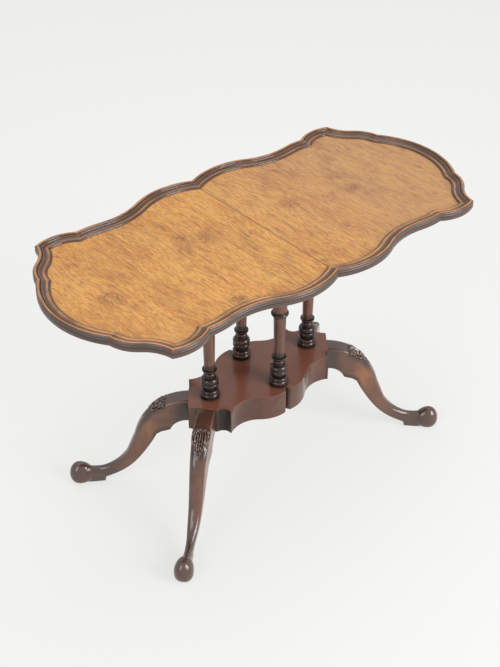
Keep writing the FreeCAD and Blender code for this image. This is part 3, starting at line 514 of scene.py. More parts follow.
class Nodes:
    """Adds nodes to a shader tree and gives back their sockets."""

    def __init__(self, tree):
        self.tree = tree

    def feed(self, socket, value):
        if isinstance(value, bpy.types.NodeSocket):
            self.tree.links.new(value, socket)
        else:
            socket.default_value = value

    def add(self, kind, inputs=None, **settings):
        """Add a node, with its settings and then its inputs by name or number."""
        node = self.tree.nodes.new(kind)
        for name, value in settings.items():
            setattr(node, name, value)
        for name, value in (inputs or {}).items():
            self.feed(node.inputs[name], value)
        return node

    def attribute(self, name):
        return self.add("ShaderNodeAttribute", attribute_name=name).outputs["Fac"]

    def scaled(self, vector, scale):
        """A vector with each axis multiplied by its own number."""
        return self.add("ShaderNodeMapping", {"Vector": vector, "Scale": scale}).outputs["Vector"]

    def turned(self, vector, degrees):
        """A vector turned about the z axis."""
        turn = (0, 0, math.radians(degrees))
        return self.add("ShaderNodeMapping", {"Vector": vector, "Rotation": turn}).outputs["Vector"]

    def stretched(self, vector, scales):
        """A vector multiplied, axis by axis, by another."""
        inputs = {0: vector, 1: scales}
        return self.add("ShaderNodeVectorMath", inputs, operation="MULTIPLY").outputs["Vector"]

    def distance(self, vector, point):
        inputs = {0: vector, 1: point}
        return self.add("ShaderNodeVectorMath", inputs, operation="DISTANCE").outputs["Value"]

    def parts(self, vector):
        """The x, y and z of a vector."""
        node = self.add("ShaderNodeSeparateXYZ", {"Vector": vector})
        return node.outputs["X"], node.outputs["Y"], node.outputs["Z"]

    def joined(self, x, y, z):
        return self.add("ShaderNodeCombineXYZ", {"X": x, "Y": y, "Z": z}).outputs["Vector"]

    def facing_up(self):
        """1 where the surface faces up, and -1 where it faces down."""
        return self.parts(self.add("ShaderNodeNewGeometry").outputs["Normal"])[2]

    def noise(self, vector, scale=1.0, detail=2.0, roughness=0.5, distortion=0.0):
        inputs = {
            "Vector": vector,
            "Scale": scale,
            "Detail": detail,
            "Roughness": roughness,
            "Distortion": distortion,
        }
        return self.add("ShaderNodeTexNoise", inputs).outputs["Fac"]

    def maths(self, operation, first, second=0.0):
        return self.add("ShaderNodeMath", {0: first, 1: second}, operation=operation).outputs[0]

    def product(self, *factors):
        """The product of two or more masks or numbers."""
        return reduce(lambda first, second: self.maths("MULTIPLY", first, second), factors)

    def size_of(self, value, centre=0.0):
        """How far a value is from a centre, either way."""
        return self.maths("ABSOLUTE", self.maths("SUBTRACT", value, centre))

    def fade(self, value, low, high, start=0.0, end=1.0):
        """A smooth change from start to end while the value goes from low to high."""
        inputs = {
            "Value": value,
            "From Min": low,
            "From Max": high,
            "To Min": start,
            "To Max": end,
        }
        node = self.add("ShaderNodeMapRange", inputs, interpolation_type="SMOOTHSTEP")
        return node.outputs["Result"]

    def mix(self, share, first, second):
        """Mix two colours."""
        inputs = {MIX_SHARE: share}
        for index, value in ((MIX_FIRST, first), (MIX_SECOND, second)):
            inputs[index] = value if isinstance(value, bpy.types.NodeSocket) else (*value, 1)
        return self.add("ShaderNodeMix", inputs, data_type="RGBA").outputs[MIX_RESULT]

    def stained(self, tone, *stains):
        """A tone with other colours laid over it in turn, each as (mask, share, colour)."""
        for mask, share, stain in stains:
            tone = self.mix(self.product(mask, share), tone, stain)
        return tone

    def profile(self, value, stops):
        """A number that follows stops of (place, height) along a value from 0 to 1."""
        node = self.add("ShaderNodeValToRGB", {"Fac": value})
        ramp = node.color_ramp
        while len(ramp.elements) < len(stops):
            ramp.elements.new(1)
        for element, (place, height) in zip(ramp.elements, stops):
            element.position = place
            element.color = (height, height, height, 1)
        return node.outputs["Color"]

    def bump(self, height, distance, strength):
        inputs = {"Height": height, "Distance": distance, "Strength": strength}
        return self.add("ShaderNodeBump", inputs).outputs["Normal"]

    def group(self, build, **inputs):
        """Place a shared group, which is built the first time; underscores stand for spaces."""
        name = build.__name__.replace("_", " ").title()
        tree = bpy.data.node_groups.get(name) or build(name)
        named = {key.replace("_", " ").capitalize(): value for key, value in inputs.items()}
        return self.add("ShaderNodeGroup", named, node_tree=tree).outputs

    def seen_by_polish_or_camera(self):
        """1 for what the camera sees directly, in polish or through glass."""
        ray = self.add("ShaderNodeLightPath").outputs
        seen = self.maths("MAXIMUM", ray["Is Camera Ray"], ray["Is Glossy Ray"])
        return self.maths("MAXIMUM", seen, ray["Is Transmission Ray"])


class Finish(Nodes):
    """The nodes of one material, with what the finishes of the table have in common."""

    def __init__(self, name, specular=0.5):
        self.material = bpy.data.materials.new(name)
        self.material.use_nodes = True
        super().__init__(self.material.node_tree)
        self.shader = self.tree.nodes["Principled BSDF"]
        self.shader.inputs["Specular IOR Level"].default_value = specular
        self.place = self.add("ShaderNodeTexCoord").outputs["Object"]

    def wear(self, reach):
        return self.group(worn_edges, vector=self.place, reach=reach)["Wear"]

    # Painted shade with grime, from ambient occlusion, in hollows and where parts meet.
    def grime(self, reach):
        return self.group(hollow_shade_and_grime, vector=self.place, reach=reach)["Grime"]

    def unevenness(self):
        return self.group(hand_worked, vector=self.place)["Height"]

    def finished(self, tone, gloss, spread, relief=None, dulled=None):
        """Feed the shader with its polish, its relief (height, distance, strength) and the rest."""
        self.feed(self.shader.inputs["Base Color"], tone)
        polish = self.group(rubbed_polish, vector=self.place, gloss=gloss, spread=spread)
        roughness = polish["Roughness"]
        if dulled:
            roughness = self.maths("ADD", roughness, dulled)
        self.feed(self.shader.inputs["Roughness"], roughness)
        if relief:
            self.feed(self.shader.inputs["Normal"], self.bump(*relief))
        return self.material


def new_group(name, inputs, outputs):
    """An empty shader group, with its Nodes, its input sockets and its output sockets."""
    tree = bpy.data.node_groups.new(name, "ShaderNodeTree")
    for socket_name, default in inputs.items():
        kind = "NodeSocketVector" if default is None else "NodeSocketFloat"
        socket = tree.interface.new_socket(name=socket_name, in_out="INPUT", socket_type=kind)
        if default is not None:
            socket.default_value = default
    for socket_name in outputs:
        tree.interface.new_socket(
            name=socket_name, in_out="OUTPUT", socket_type="NodeSocketFloat"
        )
    nodes = Nodes(tree)
    return tree, nodes, nodes.add("NodeGroupInput").outputs, nodes.add("NodeGroupOutput").inputs


FIGURE_STRETCH = 0.22        # how much the figure is drawn out along the grain
FIBRE_SCALE = (26, 950, 950)
PORE_SCALE = (130, 1900, 1900)
SMEAR_SCALE = (9, 23, 16)


def timber_grain(name):
    """Figure, fibres, flecks and pores of wood whose grain runs along the vector's x."""
    tree, nodes, given, wanted = new_group(
        name,
        {"Vector": None, "Figure size": 0.03, "Fleck length": 0.02, "Fleck width": 0.0011},
        ("Figure", "Fibre", "Flecks", "Pores"),
    )
    vector = given["Vector"]
    across, fleck_along, fleck_across = (
        nodes.maths("DIVIDE", 1, given[size])
        for size in ("Figure size", "Fleck length", "Fleck width")
    )
    figure_scale = nodes.joined(nodes.product(across, FIGURE_STRETCH), across, across)
    figure = nodes.noise(nodes.stretched(vector, figure_scale), 1.0, 4, 0.55, 0.9)
    fibre = nodes.noise(nodes.scaled(vector, FIBRE_SCALE), 1.0, 2, 0.6, 0.25)
    fleck_scale = nodes.joined(fleck_along, fleck_across, fleck_across)
    fleck = nodes.noise(nodes.stretched(vector, fleck_scale), 0.55, 3, 0.6, 0.35)
    pore = nodes.noise(nodes.scaled(vector, PORE_SCALE), 1.0, 1, 0.5)
    nodes.feed(wanted["Figure"], nodes.fade(figure, 0.32, 0.68))
    nodes.feed(wanted["Fibre"], nodes.fade(fibre, 0.3, 0.7))
    nodes.feed(wanted["Flecks"], nodes.fade(fleck, 0.54, 0.64))
    nodes.feed(wanted["Pores"], nodes.fade(pore, 0.6, 0.72))
    return tree


def worn_edges(name):
    """Where handling has rubbed the arrises through, broken up so that no edge is even."""
    tree, nodes, given, wanted = new_group(name, {"Vector": None, "Reach": 0.03}, ("Wear",))
    point = nodes.add("ShaderNodeNewGeometry").outputs["Pointiness"]
    edge = nodes.fade(point, 0.505, nodes.maths("ADD", given["Reach"], 0.5))
    patches = nodes.fade(nodes.noise(given["Vector"], 38, 3, 0.6), 0.3, 0.62, 0.25, 1.0)
    nodes.feed(wanted["Wear"], nodes.product(edge, patches))
    return tree


def hollow_shade_and_grime(name):
    """Painted shade with old wax and dust, from ambient occlusion, where surfaces meet and in
    hollows.
    """
    tree, nodes, given, wanted = new_group(name, {"Vector": None, "Reach": 0.012}, ("Grime",))
    hollow = nodes.add("ShaderNodeAmbientOcclusion", {"Distance": given["Reach"]}, samples=8)
    depth = nodes.fade(hollow.outputs["AO"], 0.95, 0.45)
    patches = nodes.fade(nodes.noise(given["Vector"], 55, 3, 0.6), 0.25, 0.65, 0.55, 1.0)
    nodes.feed(wanted["Grime"], nodes.product(depth, patches))
    return tree


def rubbed_polish(name):
    """Roughness of hand-rubbed polish, with faint smears and duller patches."""
    tree, nodes, given, wanted = new_group(
        name, {"Vector": None, "Gloss": 0.2, "Spread": 0.1}, ("Roughness",)
    )
    smear = nodes.noise(nodes.scaled(given["Vector"], SMEAR_SCALE), 1.0, 4, 0.65, 0.8)
    spread = nodes.product(nodes.fade(smear, 0.3, 0.7), given["Spread"])
    nodes.feed(wanted["Roughness"], nodes.maths("ADD", given["Gloss"], spread))
    return tree


def hand_worked(name):
    """The slight unevenness that scrapers and years of handling leave."""
    tree, nodes, given, wanted = new_group(name, {"Vector": None, "Scale": 95}, ("Height",))
    nodes.feed(wanted["Height"], nodes.noise(given["Vector"], given["Scale"], 2, 0.45))
    return tree


# ---------------------------------------------------------------- materials

Burr = namedtuple("Burr", "x y radius")      # a patch of burr in the panel, in metres
BURRS = (
    Burr(-0.094, 0.034, 0.030),
    Burr(-0.135, 0.058, 0.020),
    Burr(0.091, 0.025, 0.026),
    Burr(0.212, -0.006, 0.024),
    Burr(0.221, 0.046, 0.022),
    Burr(-0.325, -0.012, 0.030),
    Burr(-0.175, -0.148, 0.024),
    Burr(-0.076, -0.086, 0.011),
)
BURR_CORE = 0.3              # the share of its radius where a burr is at its densest
CURL_SCALE = (58, 34, 1)
RIPPLE_SCALE = (62, 330, 1)
SHORT_FLECK_TURN = 4         # degrees that the short flecks lie off the grain
DENSEST_FLECKS = -0.06       # where along the panel the flecks are densest


def burr_curls(wood):
    """A mask of small dark curls, gathered in the patches of burr."""
    x, y, _ = wood.parts(wood.place)
    level = wood.joined(x, y, 0.0)
    patches = 0.0
    for burr in BURRS:
        away = wood.distance(level, (burr.x, burr.y, 0.0))
        near = wood.fade(away, burr.radius * BURR_CORE, burr.radius, 1.0, 0.0)
        patches = wood.maths("MAXIMUM", near, patches)
    curl = wood.noise(wood.scaled(level, CURL_SCALE), 1.0, 3, 0.55, 1.4)
    lines = wood.product(patches, wood.fade(wood.size_of(curl, 0.5), 0.0, 0.05, 0.8, 0.0))
    return wood.maths("ADD", lines, wood.product(patches, 0.28))


def panel_veneer(colours):
    """Honey-coloured veneer with short dark flecks, curls of burr and a joint in the middle, a
    painted sheen on its right leaf and painted shade with grime along the rim.
    """
    wood = Finish("panel_veneer", specular=0.42)
    place = wood.place
    x, y, z = wood.parts(place)
    bend = wood.product(wood.noise(place, 9, 2, 0.5), 0.02)
    along = wood.joined(y, wood.maths("ADD", x, bend), z)
    grain = wood.group(
        timber_grain, vector=along, figure_size=0.035, fleck_length=0.032, fleck_width=0.0016
    )
    short = wood.group(
        timber_grain,
        vector=wood.turned(along, SHORT_FLECK_TURN),
        figure_size=0.012,
        fleck_length=0.0125,
        fleck_width=0.0013,
    )
    ripple = wood.noise(wood.scaled(along, RIPPLE_SCALE), 1.0, 3, 0.62, 1.1)
    cloud = wood.noise(place, 7.5, 3, 0.55, 0.4)
    right_leaf = wood.fade(x, -0.0002, 0.0002)
    # The right leaf paler, and paler still towards its end: its own veneer with a painted sheen.
    pale_leaf_and_sheen = wood.product(right_leaf, wood.fade(x, 0.0, 0.25, 0.12, 0.55))
    crowd = wood.fade(wood.noise(place, 11, 3, 0.6), 0.36, 0.66, 0.25, 1.0)
    middle = wood.fade(wood.size_of(x, DENSEST_FLECKS), 0.0, 0.34, 1.0, 0.55)
    joint = wood.fade(wood.size_of(x), 0.0005, 0.0015, 1.0, 0.0)
    smudge = wood.fade(wood.noise(place, 13, 4, 0.6, 0.8), 0.54, 0.7)
    tone = wood.stained(
        wood.mix(wood.fade(cloud, 0.35, 0.65), colours.amber, colours.honey),
        (grain["Figure"], 0.5, colours.straw),
        (grain["Fibre"], 0.22, colours.amber),
        (wood.fade(ripple, 0.51, 0.64), 0.75, colours.straw),
        (wood.fade(ripple, 0.48, 0.36), 0.6, colours.burr),
        (pale_leaf_and_sheen, 1.0, colours.dusk),
        (wood.product(grain["Flecks"], crowd, middle), 0.95, colours.pore),
        (short["Flecks"], 0.85, colours.burr),
        (short["Figure"], 0.3, colours.straw),
        (grain["Pores"], 0.28, colours.pore),
        (burr_curls(wood), 1.0, colours.burr),
        (joint, 0.85, colours.pore),
        (smudge, 0.4, colours.burr),
        # Painted shade with grime, in the rim's brown, along the foot of the moulding.
        (wood.grime(0.04), 2.0, colours.rim_body),
    )
    tone = wood.mix(wood.fade(wood.facing_up(), 0.5, 0.8), colours.umber, tone)
    open_pores = wood.maths("ADD", grain["Pores"], grain["Flecks"])
    return wood.finished(tone, gloss=0.33, spread=0.14, relief=(open_pores, -0.00008, 0.6))


# How the rim's finish goes across it, from its outer edge: stops of (share of width, strength).
RIM_WIDTH = 0.021
# Worn crest and beads, with a painted highlight along the thin bead.
RUBBED_AND_HIGHLIT = (
    (0.0, 0.0), (0.06, 0.15), (0.12, 1.0), (0.25, 0.85), (0.32, 0.1), (0.385, 0.0),
    (0.44, 0.5), (0.49, 0.4), (0.53, 0.12), (0.66, 0.08), (0.73, 0.35), (0.81, 1.0),
    (0.91, 0.9), (0.93, 0.1), (1.0, 0.05),
)
RUBBED_GOLD = (
    (0.0, 0.0), (0.1, 0.0), (0.14, 0.6), (0.22, 0.5), (0.3, 0.0), (0.73, 0.0),
    (0.78, 0.8), (0.91, 0.9), (0.93, 0.0), (1.0, 0.0),
)
# Old polish in the grooves and cove, with painted shade on the outer face below the crest.
BLACKENED_AND_SHADED = (
    (0.0, 0.6), (0.05, 0.8), (0.1, 0.0), (0.25, 0.0), (0.32, 0.6), (0.37, 0.75),
    (0.42, 0.35), (0.5, 0.35), (0.55, 0.7), (0.68, 0.7), (0.74, 0.25), (0.79, 0.0),
    (0.915, 0.0), (0.94, 0.75), (1.0, 0.4),
)


def rim_timber(colours):
    """Moulded rim: rubbed bright on its beads and crest, with a painted highlight along the thin
    bead, black with old polish in its grooves, painted shade below its crest and a painted grey
    sheen on its outer side.
    """
    wood = Finish("rim_timber", specular=0.62)
    place = wood.place
    inset = wood.attribute("inset")
    share = wood.maths("DIVIDE", inset, RIM_WIDTH)
    run = wood.joined(wood.attribute("along"), inset, 0.0)
    grain = wood.group(timber_grain, vector=run, figure_size=0.012, fleck_length=0.016)
    patches = wood.fade(wood.noise(place, 22, 4, 0.6), 0.3, 0.66, 0.3, 1.0)
    uneven = wood.fade(wood.noise(place, 31, 3, 0.6), 0.25, 0.6, 0.45, 1.0)
    # The rim's outer side, under a painted grey sheen and a duller polish.
    outside = wood.fade(share, 0.06, 0.035)
    tone = wood.stained(
        colours.rim_body,
        (grain["Figure"], 0.4, colours.umber),
        # Worn colour on the crest and beads, and a painted highlight on the thin bead.
        (wood.profile(share, RUBBED_AND_HIGHLIT), patches, colours.rim_worn),
        (wood.profile(share, RUBBED_GOLD), patches, colours.rim_gold),
        (grain["Flecks"], 0.35, colours.umber),
        # Old polish in the grooves, and painted shade below the crest.
        (wood.profile(share, BLACKENED_AND_SHADED), uneven, colours.old_polish_and_shade),
        (wood.wear(0.06), 0.35, colours.rim_worn),
        # Painted grey sheen on the outer side.
        (outside, 0.45, colours.painted_edge_sheen),
    )
    relief = (wood.unevenness(), 0.0012, 0.5)
    dulled = wood.product(outside, 0.22)
    return wood.finished(tone, gloss=0.12, spread=0.14, relief=relief, dulled=dulled)


def board_timber(colours):
    """The board under the veneer: dark polished edge under a painted grey sheen, plain unpolished
    underside, painted shade with grime where it meets other parts.
    """
    wood = Finish("board_timber")
    grain = wood.group(timber_grain, vector=wood.place, figure_size=0.04)
    edge = wood.stained(
        wood.mix(grain["Figure"], colours.umber, colours.rim_body),
        (grain["Flecks"], 0.4, colours.old_polish_and_shade),
        # Painted grey sheen over the edge.
        (EVERYWHERE, 0.5, colours.painted_edge_sheen),
    )
    under = wood.stained(
        colours.bare, (grain["Figure"], 0.6, colours.umber), (grain["Fibre"], 0.3, colours.umber)
    )
    below = wood.fade(wood.facing_up(), -0.75, -0.97)
    # Painted shade with grime where the board meets other parts.
    tone = wood.stained(wood.mix(below, edge, under), (wood.grime(0.02), 0.6, colours.old_polish_and_shade))
    relief = (grain["Fibre"], 0.00006, 0.5)
    dulled = wood.product(below, 0.4)
    return wood.finished(tone, gloss=0.24, spread=0.14, relief=relief, dulled=dulled)


STREAK_SCALE = (95, 95, 9)
TURNED_SCALE = (40, 40, 90)


def column_timber(colours, lip, band, cap):
    """Turned wood: red-brown shafts between turnings that old polish has blackened, under a painted
    grey sheen, with painted glow streaks and painted shade with grime where parts meet.
    """
    wood = Finish("column_timber", specular=0.42)
    x, y, z = wood.parts(wood.place)
    grain = wood.group(timber_grain, vector=wood.joined(z, x, y), figure_size=0.014)
    streaks = wood.noise(wood.scaled(wood.place, STREAK_SCALE), 1.0, 3, 0.6)
    below_lip = wood.fade(z, lip + 0.008, lip + 0.015, 1.0, 0.0)
    near_band = wood.fade(wood.size_of(z, band), 0.004, 0.011, 1.0, 0.0)
    turned = wood.maths("MAXIMUM", near_band, wood.fade(z, cap - 0.012, cap))
    turned = wood.maths("MAXIMUM", below_lip, turned)
    patches = wood.noise(wood.scaled(wood.place, TURNED_SCALE), 1.0, 3, 0.6)
    tone = wood.stained(
        wood.mix(grain["Figure"], colours.russet, colours.chestnut),
        (grain["Fibre"], 0.35, colours.umber),
        (grain["Flecks"], 0.5, colours.umber),
        # Painted glow streaks along the shaft.
        (wood.fade(streaks, 0.52, 0.66), 0.3, colours.glow),
        (wood.fade(streaks, 0.46, 0.32), 0.7, colours.umber),
        # Painted grey sheen all over the column.
        (EVERYWHERE, 0.13, colours.haze),
        (turned, wood.fade(patches, 0.42, 0.68, 1.0, 0.55), colours.old_polish_and_shade),
        # Painted shade with grime where the turnings meet and in their hollows.
        (wood.grime(0.01), 0.85, colours.old_polish_and_shade),
        (wood.wear(0.07), 0.3, colours.chestnut),
    )
    relief = (wood.unevenness(), 0.0006, 0.35)
    return wood.finished(tone, gloss=0.09, spread=0.1, relief=relief)


COVE_STREAK_SCALE = (420, 420, 6)


def platform_timber(colours, cove):
    """Red-brown polished wood with its grain along the table: a painted sheen on its top, painted
    shade on its sides, and black painted shade with old polish in the coves by the legs.
    """
    wood = Finish("platform_timber")
    place = wood.place
    x, y, _ = wood.parts(place)
    grain = wood.group(timber_grain, vector=place, figure_size=0.03, fleck_length=0.014)
    cloud = wood.fade(wood.noise(place, 16, 3, 0.55, 0.5), 0.35, 0.7)
    tone = wood.stained(
        wood.mix(grain["Figure"], colours.russet, colours.chestnut),
        (cloud, 0.3, colours.umber),
        (grain["Flecks"], 0.4, colours.umber),
        (grain["Fibre"], 0.2, colours.umber),
    )
    from_middle = wood.size_of(x)
    to_cove = wood.distance(wood.joined(from_middle, wood.size_of(y), 0.0), cove)
    # Painted shade in the coves beside the legs; the same mask dulls the polish there.
    cove_shade = wood.fade(to_cove, 0.0115, 0.0165, 1.0, 0.0)
    streaks = wood.noise(wood.scaled(place, COVE_STREAK_SCALE), 1.0, 2, 0.5)
    # The sides: a painted shaded copy of the wood, darker than the top, with painted shade in the
    # coves and near the legs.
    side = wood.stained(
        tone,
        (EVERYWHERE, 0.35, colours.umber),
        # Painted grey sheen on the sides.
        (EVERYWHERE, 0.1, colours.haze),
        (cloud, 0.35, colours.umber),
        # Painted shade, streaked, in the coves.
        (cove_shade, wood.fade(streaks, 0.3, 0.6, 0.5, 1.0), colours.old_polish_and_shade),
        # Painted shade on the sides near the legs.
        (wood.fade(from_middle, cove.x - 0.02, cove.x + 0.01), 0.45, colours.old_polish_and_shade),
    )
    facing = wood.facing_up()
    below = wood.fade(facing, -0.7, -0.95)
    # The top: a painted lit copy of the wood, with a rosy sheen.
    top = wood.mix(0.7, tone, colours.rosy)
    tone = wood.stained(
        wood.mix(wood.fade(facing, 0.3, 0.8), side, top),
        (below, 0.7, colours.bare),
        (wood.wear(0.09), 0.4, colours.glow),
        # Painted shade with grime in hollows and where the legs and columns meet the platform.
        (wood.grime(0.012), 0.9, colours.old_polish_and_shade),
    )
    dulled = wood.product(wood.maths("MAXIMUM", below, cove_shade), 0.4)
    relief = (wood.unevenness(), 0.0004, 0.3)
    return wood.finished(tone, gloss=0.14, spread=0.12, relief=relief, dulled=dulled)


# Places along a leg's outer line, in metres from its seat: where each mask starts and ends.
HIP_SHADE = (0.045, 0.02)
SEAT_SHADE = (0.03, 0.014)
CARVING_START = (0.036, 0.048)
CARVING_END = (0.113, 0.093)
RIDGES_BRIGHTEN = (0.052, 0.07)
FOOT_SHADE = (0.2, 0.262)
KNEE_GLOW = 0.1
SMOKE_SCALE = (20, 20, 26)


def leg_timber(colours):
    """Brown polished legs: a painted glow on their flanks, painted shade at hips, seats and feet,
    old polish dark in the carving, and a painted highlight on its rubbed ridges.
    """
    wood = Finish("leg_timber", specular=0.8)
    place = wood.place
    along, across, depth, relief = (
        wood.attribute(name) for name in ("along", "across", "flank", "relief")
    )
    grain = wood.group(
        timber_grain,
        vector=wood.joined(along, across, depth),
        figure_size=0.022,
        fleck_length=0.018,
    )
    flank = wood.fade(depth, 0.0, 0.016)
    patches = wood.fade(wood.noise(place, 14, 3, 0.55), 0.3, 0.62)
    smoke = wood.noise(wood.scaled(place, SMOKE_SCALE), 1.0, 3, 0.6, 0.5)
    # Where the painted glow past the knee lies along the leg.
    past_knee = wood.fade(wood.size_of(along, KNEE_GLOW), 0.0, 0.045, 1.0, 0.0)
    seat = wood.product(wood.fade(along, *SEAT_SHADE), wood.fade(depth, 0.001, 0.005))
    carved = wood.product(
        wood.fade(along, *CARVING_START),
        wood.fade(along, *CARVING_END),
        wood.fade(depth, 0.015, 0.005),
    )
    # Rubbed ridges of the carving, with a painted highlight laid on them.
    worn_highlit_ridges = wood.product(
        wood.fade(relief, 0.0002, 0.0009),
        wood.fade(along, *RIDGES_BRIGHTEN, 0.3, 1.0),
        wood.fade(wood.noise(place, 150, 2, 0.6), 0.46, 0.6),
    )
    tone = wood.stained(
        wood.mix(grain["Figure"], colours.russet, colours.chestnut),
        # Painted glow on the middles of the flanks, broken into patches.
        (wood.product(flank, patches), 0.75, colours.glow),
        (grain["Flecks"], 0.45, colours.umber),
        (grain["Fibre"], 0.25, colours.umber),
        (wood.fade(smoke, 0.5, 0.68), 0.6, colours.umber),
        # Painted glow on the flanks past the knee.
        (wood.product(flank, past_knee), 0.38, colours.ember),
        (wood.fade(along, *HIP_SHADE), 0.5, colours.umber),
        # Painted shade over the feet.
        (wood.fade(along, *FOOT_SHADE), 0.65, colours.foot),
        # Painted grey sheen all over the leg.
        (EVERYWHERE, 0.08, colours.haze),
        # Painted shade at the seat.
        (seat, 0.75, colours.foot),
        (carved, 0.6, colours.old_polish_and_shade),
        (wood.fade(relief, 0.0001, -0.0006), 0.7, colours.old_polish_and_shade),
        # Painted highlight on the rubbed ridges.
        (worn_highlit_ridges, 0.8, colours.silver),
        (wood.wear(0.06), 0.4, colours.glow),
        # Painted shade with grime in the carving and where the leg meets the platform.
        (wood.grime(0.008), 0.8, colours.old_polish_and_shade),
    )
    relief = (wood.unevenness(), 0.0008, 0.35)
    return wood.finished(tone, gloss=0.11, spread=0.12, relief=relief)


def bearer_timber(colours):
    """The block under the top: stained once, never polished, dusty, with painted shade and grime
    where it meets other parts.
    """
    wood = Finish("bearer_timber", specular=0.3)
    grain = wood.group(timber_grain, vector=wood.place, figure_size=0.03)
    tone = wood.stained(
        wood.mix(grain["Figure"], colours.bare, colours.umber),
        (grain["Fibre"], 0.4, colours.umber),
        (grain["Flecks"], 0.4, colours.umber),
        # Painted shade with grime where the block meets other parts.
        (wood.grime(0.02), 0.6, colours.old_polish_and_shade),
    )
    return wood.finished(tone, gloss=0.5, spread=0.25, relief=(grain["Fibre"], 0.00012, 0.7))


def dowel_timber(colours):
    """Pale close-grained dowels."""
    wood = Finish("dowel_timber", specular=0.3)
    grain = wood.group(timber_grain, vector=wood.place, figure_size=0.008, fleck_length=0.005)
    tone = wood.stained(
        colours.dowel, (grain["Figure"], 0.35, colours.bare), (grain["Flecks"], 0.4, colours.bare)
    )
    return wood.finished(tone, gloss=0.55, spread=0.2)


def tarnished_brass(colours):
    """Screw brass, dulled brown except where a driver has touched it."""
    brass = Finish("tarnished_brass")
    patches = brass.fade(brass.noise(brass.place, 420, 3, 0.6), 0.35, 0.65)
    brass.shader.inputs["Metallic"].default_value = 1
    tone = brass.mix(patches, colours.umber, colours.brass)
    return brass.finished(tone, gloss=0.32, spread=0.25)


# ---------------------------------------------------------------- tray top

PANEL_EDGE_BAND = 0.03       # half the length of the end where the moulding's width is read
OUTLINE_STEP = 0.003
SECTION_STEP = OUTLINE_STEP / 8


def tray_quarter(sizes):
    """The outline of the top from the back right end cusp to the notch in the back side."""
    half_length, half_width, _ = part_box("ground_board")[1]
    end_cusp = spot(half_length - sizes.end_cusp_inset, half_width - sizes.end_cusp_drop)
    tip = spot(half_length - sizes.tip_inset, half_width - sizes.tip_drop)
    corner_cusp = spot(tip.x - sizes.corner_length, half_width - sizes.corner_cusp_drop)
    swell = spot(corner_cusp.x - sizes.corner_cusp_run, half_width - sizes.side_swell_drop)
    hollow = spot(swell.x - sizes.side_swell_run, half_width - sizes.side_hollow_drop)
    crest = spot(sizes.side_crest_reach, half_width)
    notch = spot(0, half_width - sizes.side_notch_drop)
    shoulder = (end_cusp + tip) / 2
    swell_turn = (swell + hollow) / 2
    hollow_turn = (hollow + crest) / 2
    swell_climb = (sizes.side_hollow_drop - sizes.side_swell_drop) / 2
    crest_climb = sizes.side_hollow_drop / 2
    end_start = end_cusp * Vector((1, -1, 1))
    return {
        "end": [Stretch(end_start, end_cusp, sizes.end_cusp_inset)],
        "shoulder": [
            Stretch(end_cusp, shoulder, sizes.end_shoulder_rise),
            Stretch(shoulder, tip, -sizes.end_shoulder_rise),
        ],
        "corner": [Stretch(tip, corner_cusp, sizes.corner_rise)],
        "side": [
            level_arc(corner_cusp, swell, sizes.corner_cusp_drop - sizes.side_swell_drop),
            level_arc(swell, swell_turn, swell_climb),
            level_arc(swell_turn, hollow, swell_climb, -1),
            level_arc(hollow, hollow_turn, crest_climb, -1),
            level_arc(hollow_turn, crest, crest_climb),
            level_arc(crest, notch, sizes.side_notch_drop),
        ],
    }


def tray_outline(quarter):
    """The whole outline of the top, anticlockwise from the front notch."""
    back = quarter["shoulder"] + quarter["corner"] + quarter["side"]
    right = mirrored(back, 1, -1) + quarter["end"] + back
    return right + mirrored(right, -1, -1)


def rim_section(sizes):
    """The closed section of the moulding: x runs in from the outer edge, y up from the veneer."""
    thin_start = sizes.crest_width + sizes.groove_width
    thin_end = thin_start + sizes.thin_bead_width
    rim_low, rim_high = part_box("rim_end_right")
    inner_foot = rim_high.x - panel_edge_reach()
    bead_end = inner_foot - sizes.fillet_width
    bead_start = bead_end - sizes.inner_bead_width
    outer_foot = spot(0, 0)
    fillet_corner = spot(bead_end, sizes.fillet_height)
    cove_foot = spot(bead_start, sizes.cove_foot_height)
    cove_head = spot(thin_end, sizes.groove_height)
    groove_end = spot(thin_start, sizes.groove_height)
    groove_start = spot(sizes.crest_width, sizes.groove_height)
    crest = spot(sizes.crest_peak_inset, rim_high.z - rim_low.z)
    quirk = spot(sizes.quirk_depth, sizes.quirk_height)
    edge_top = spot(0, sizes.edge_band_height)
    return (
        chain(outer_foot, spot(inner_foot, 0), spot(inner_foot, sizes.fillet_height), fillet_corner)
        + [
            Stretch(fillet_corner, cove_foot, sizes.inner_bead_rise),
            Stretch(cove_foot, cove_head, -sizes.cove_rise),
            Stretch(cove_head, groove_end, sizes.thin_bead_rise),
            Stretch(groove_end, groove_start, 0),
            Stretch(groove_start, crest, sizes.crest_inner_rise),
            Stretch(crest, quirk, sizes.crest_outer_rise),
        ]
        + chain(quirk, edge_top, outer_foot)
    )


def panel_edge_reach():
    """How far out the panel shows at the middle of its end, inside the moulding."""
    reaches = [
        vert.co.x
        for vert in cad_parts["rim_end_right"].data.vertices
        if abs(vert.co.y) < PANEL_EDGE_BAND
    ]
    return min(reaches)


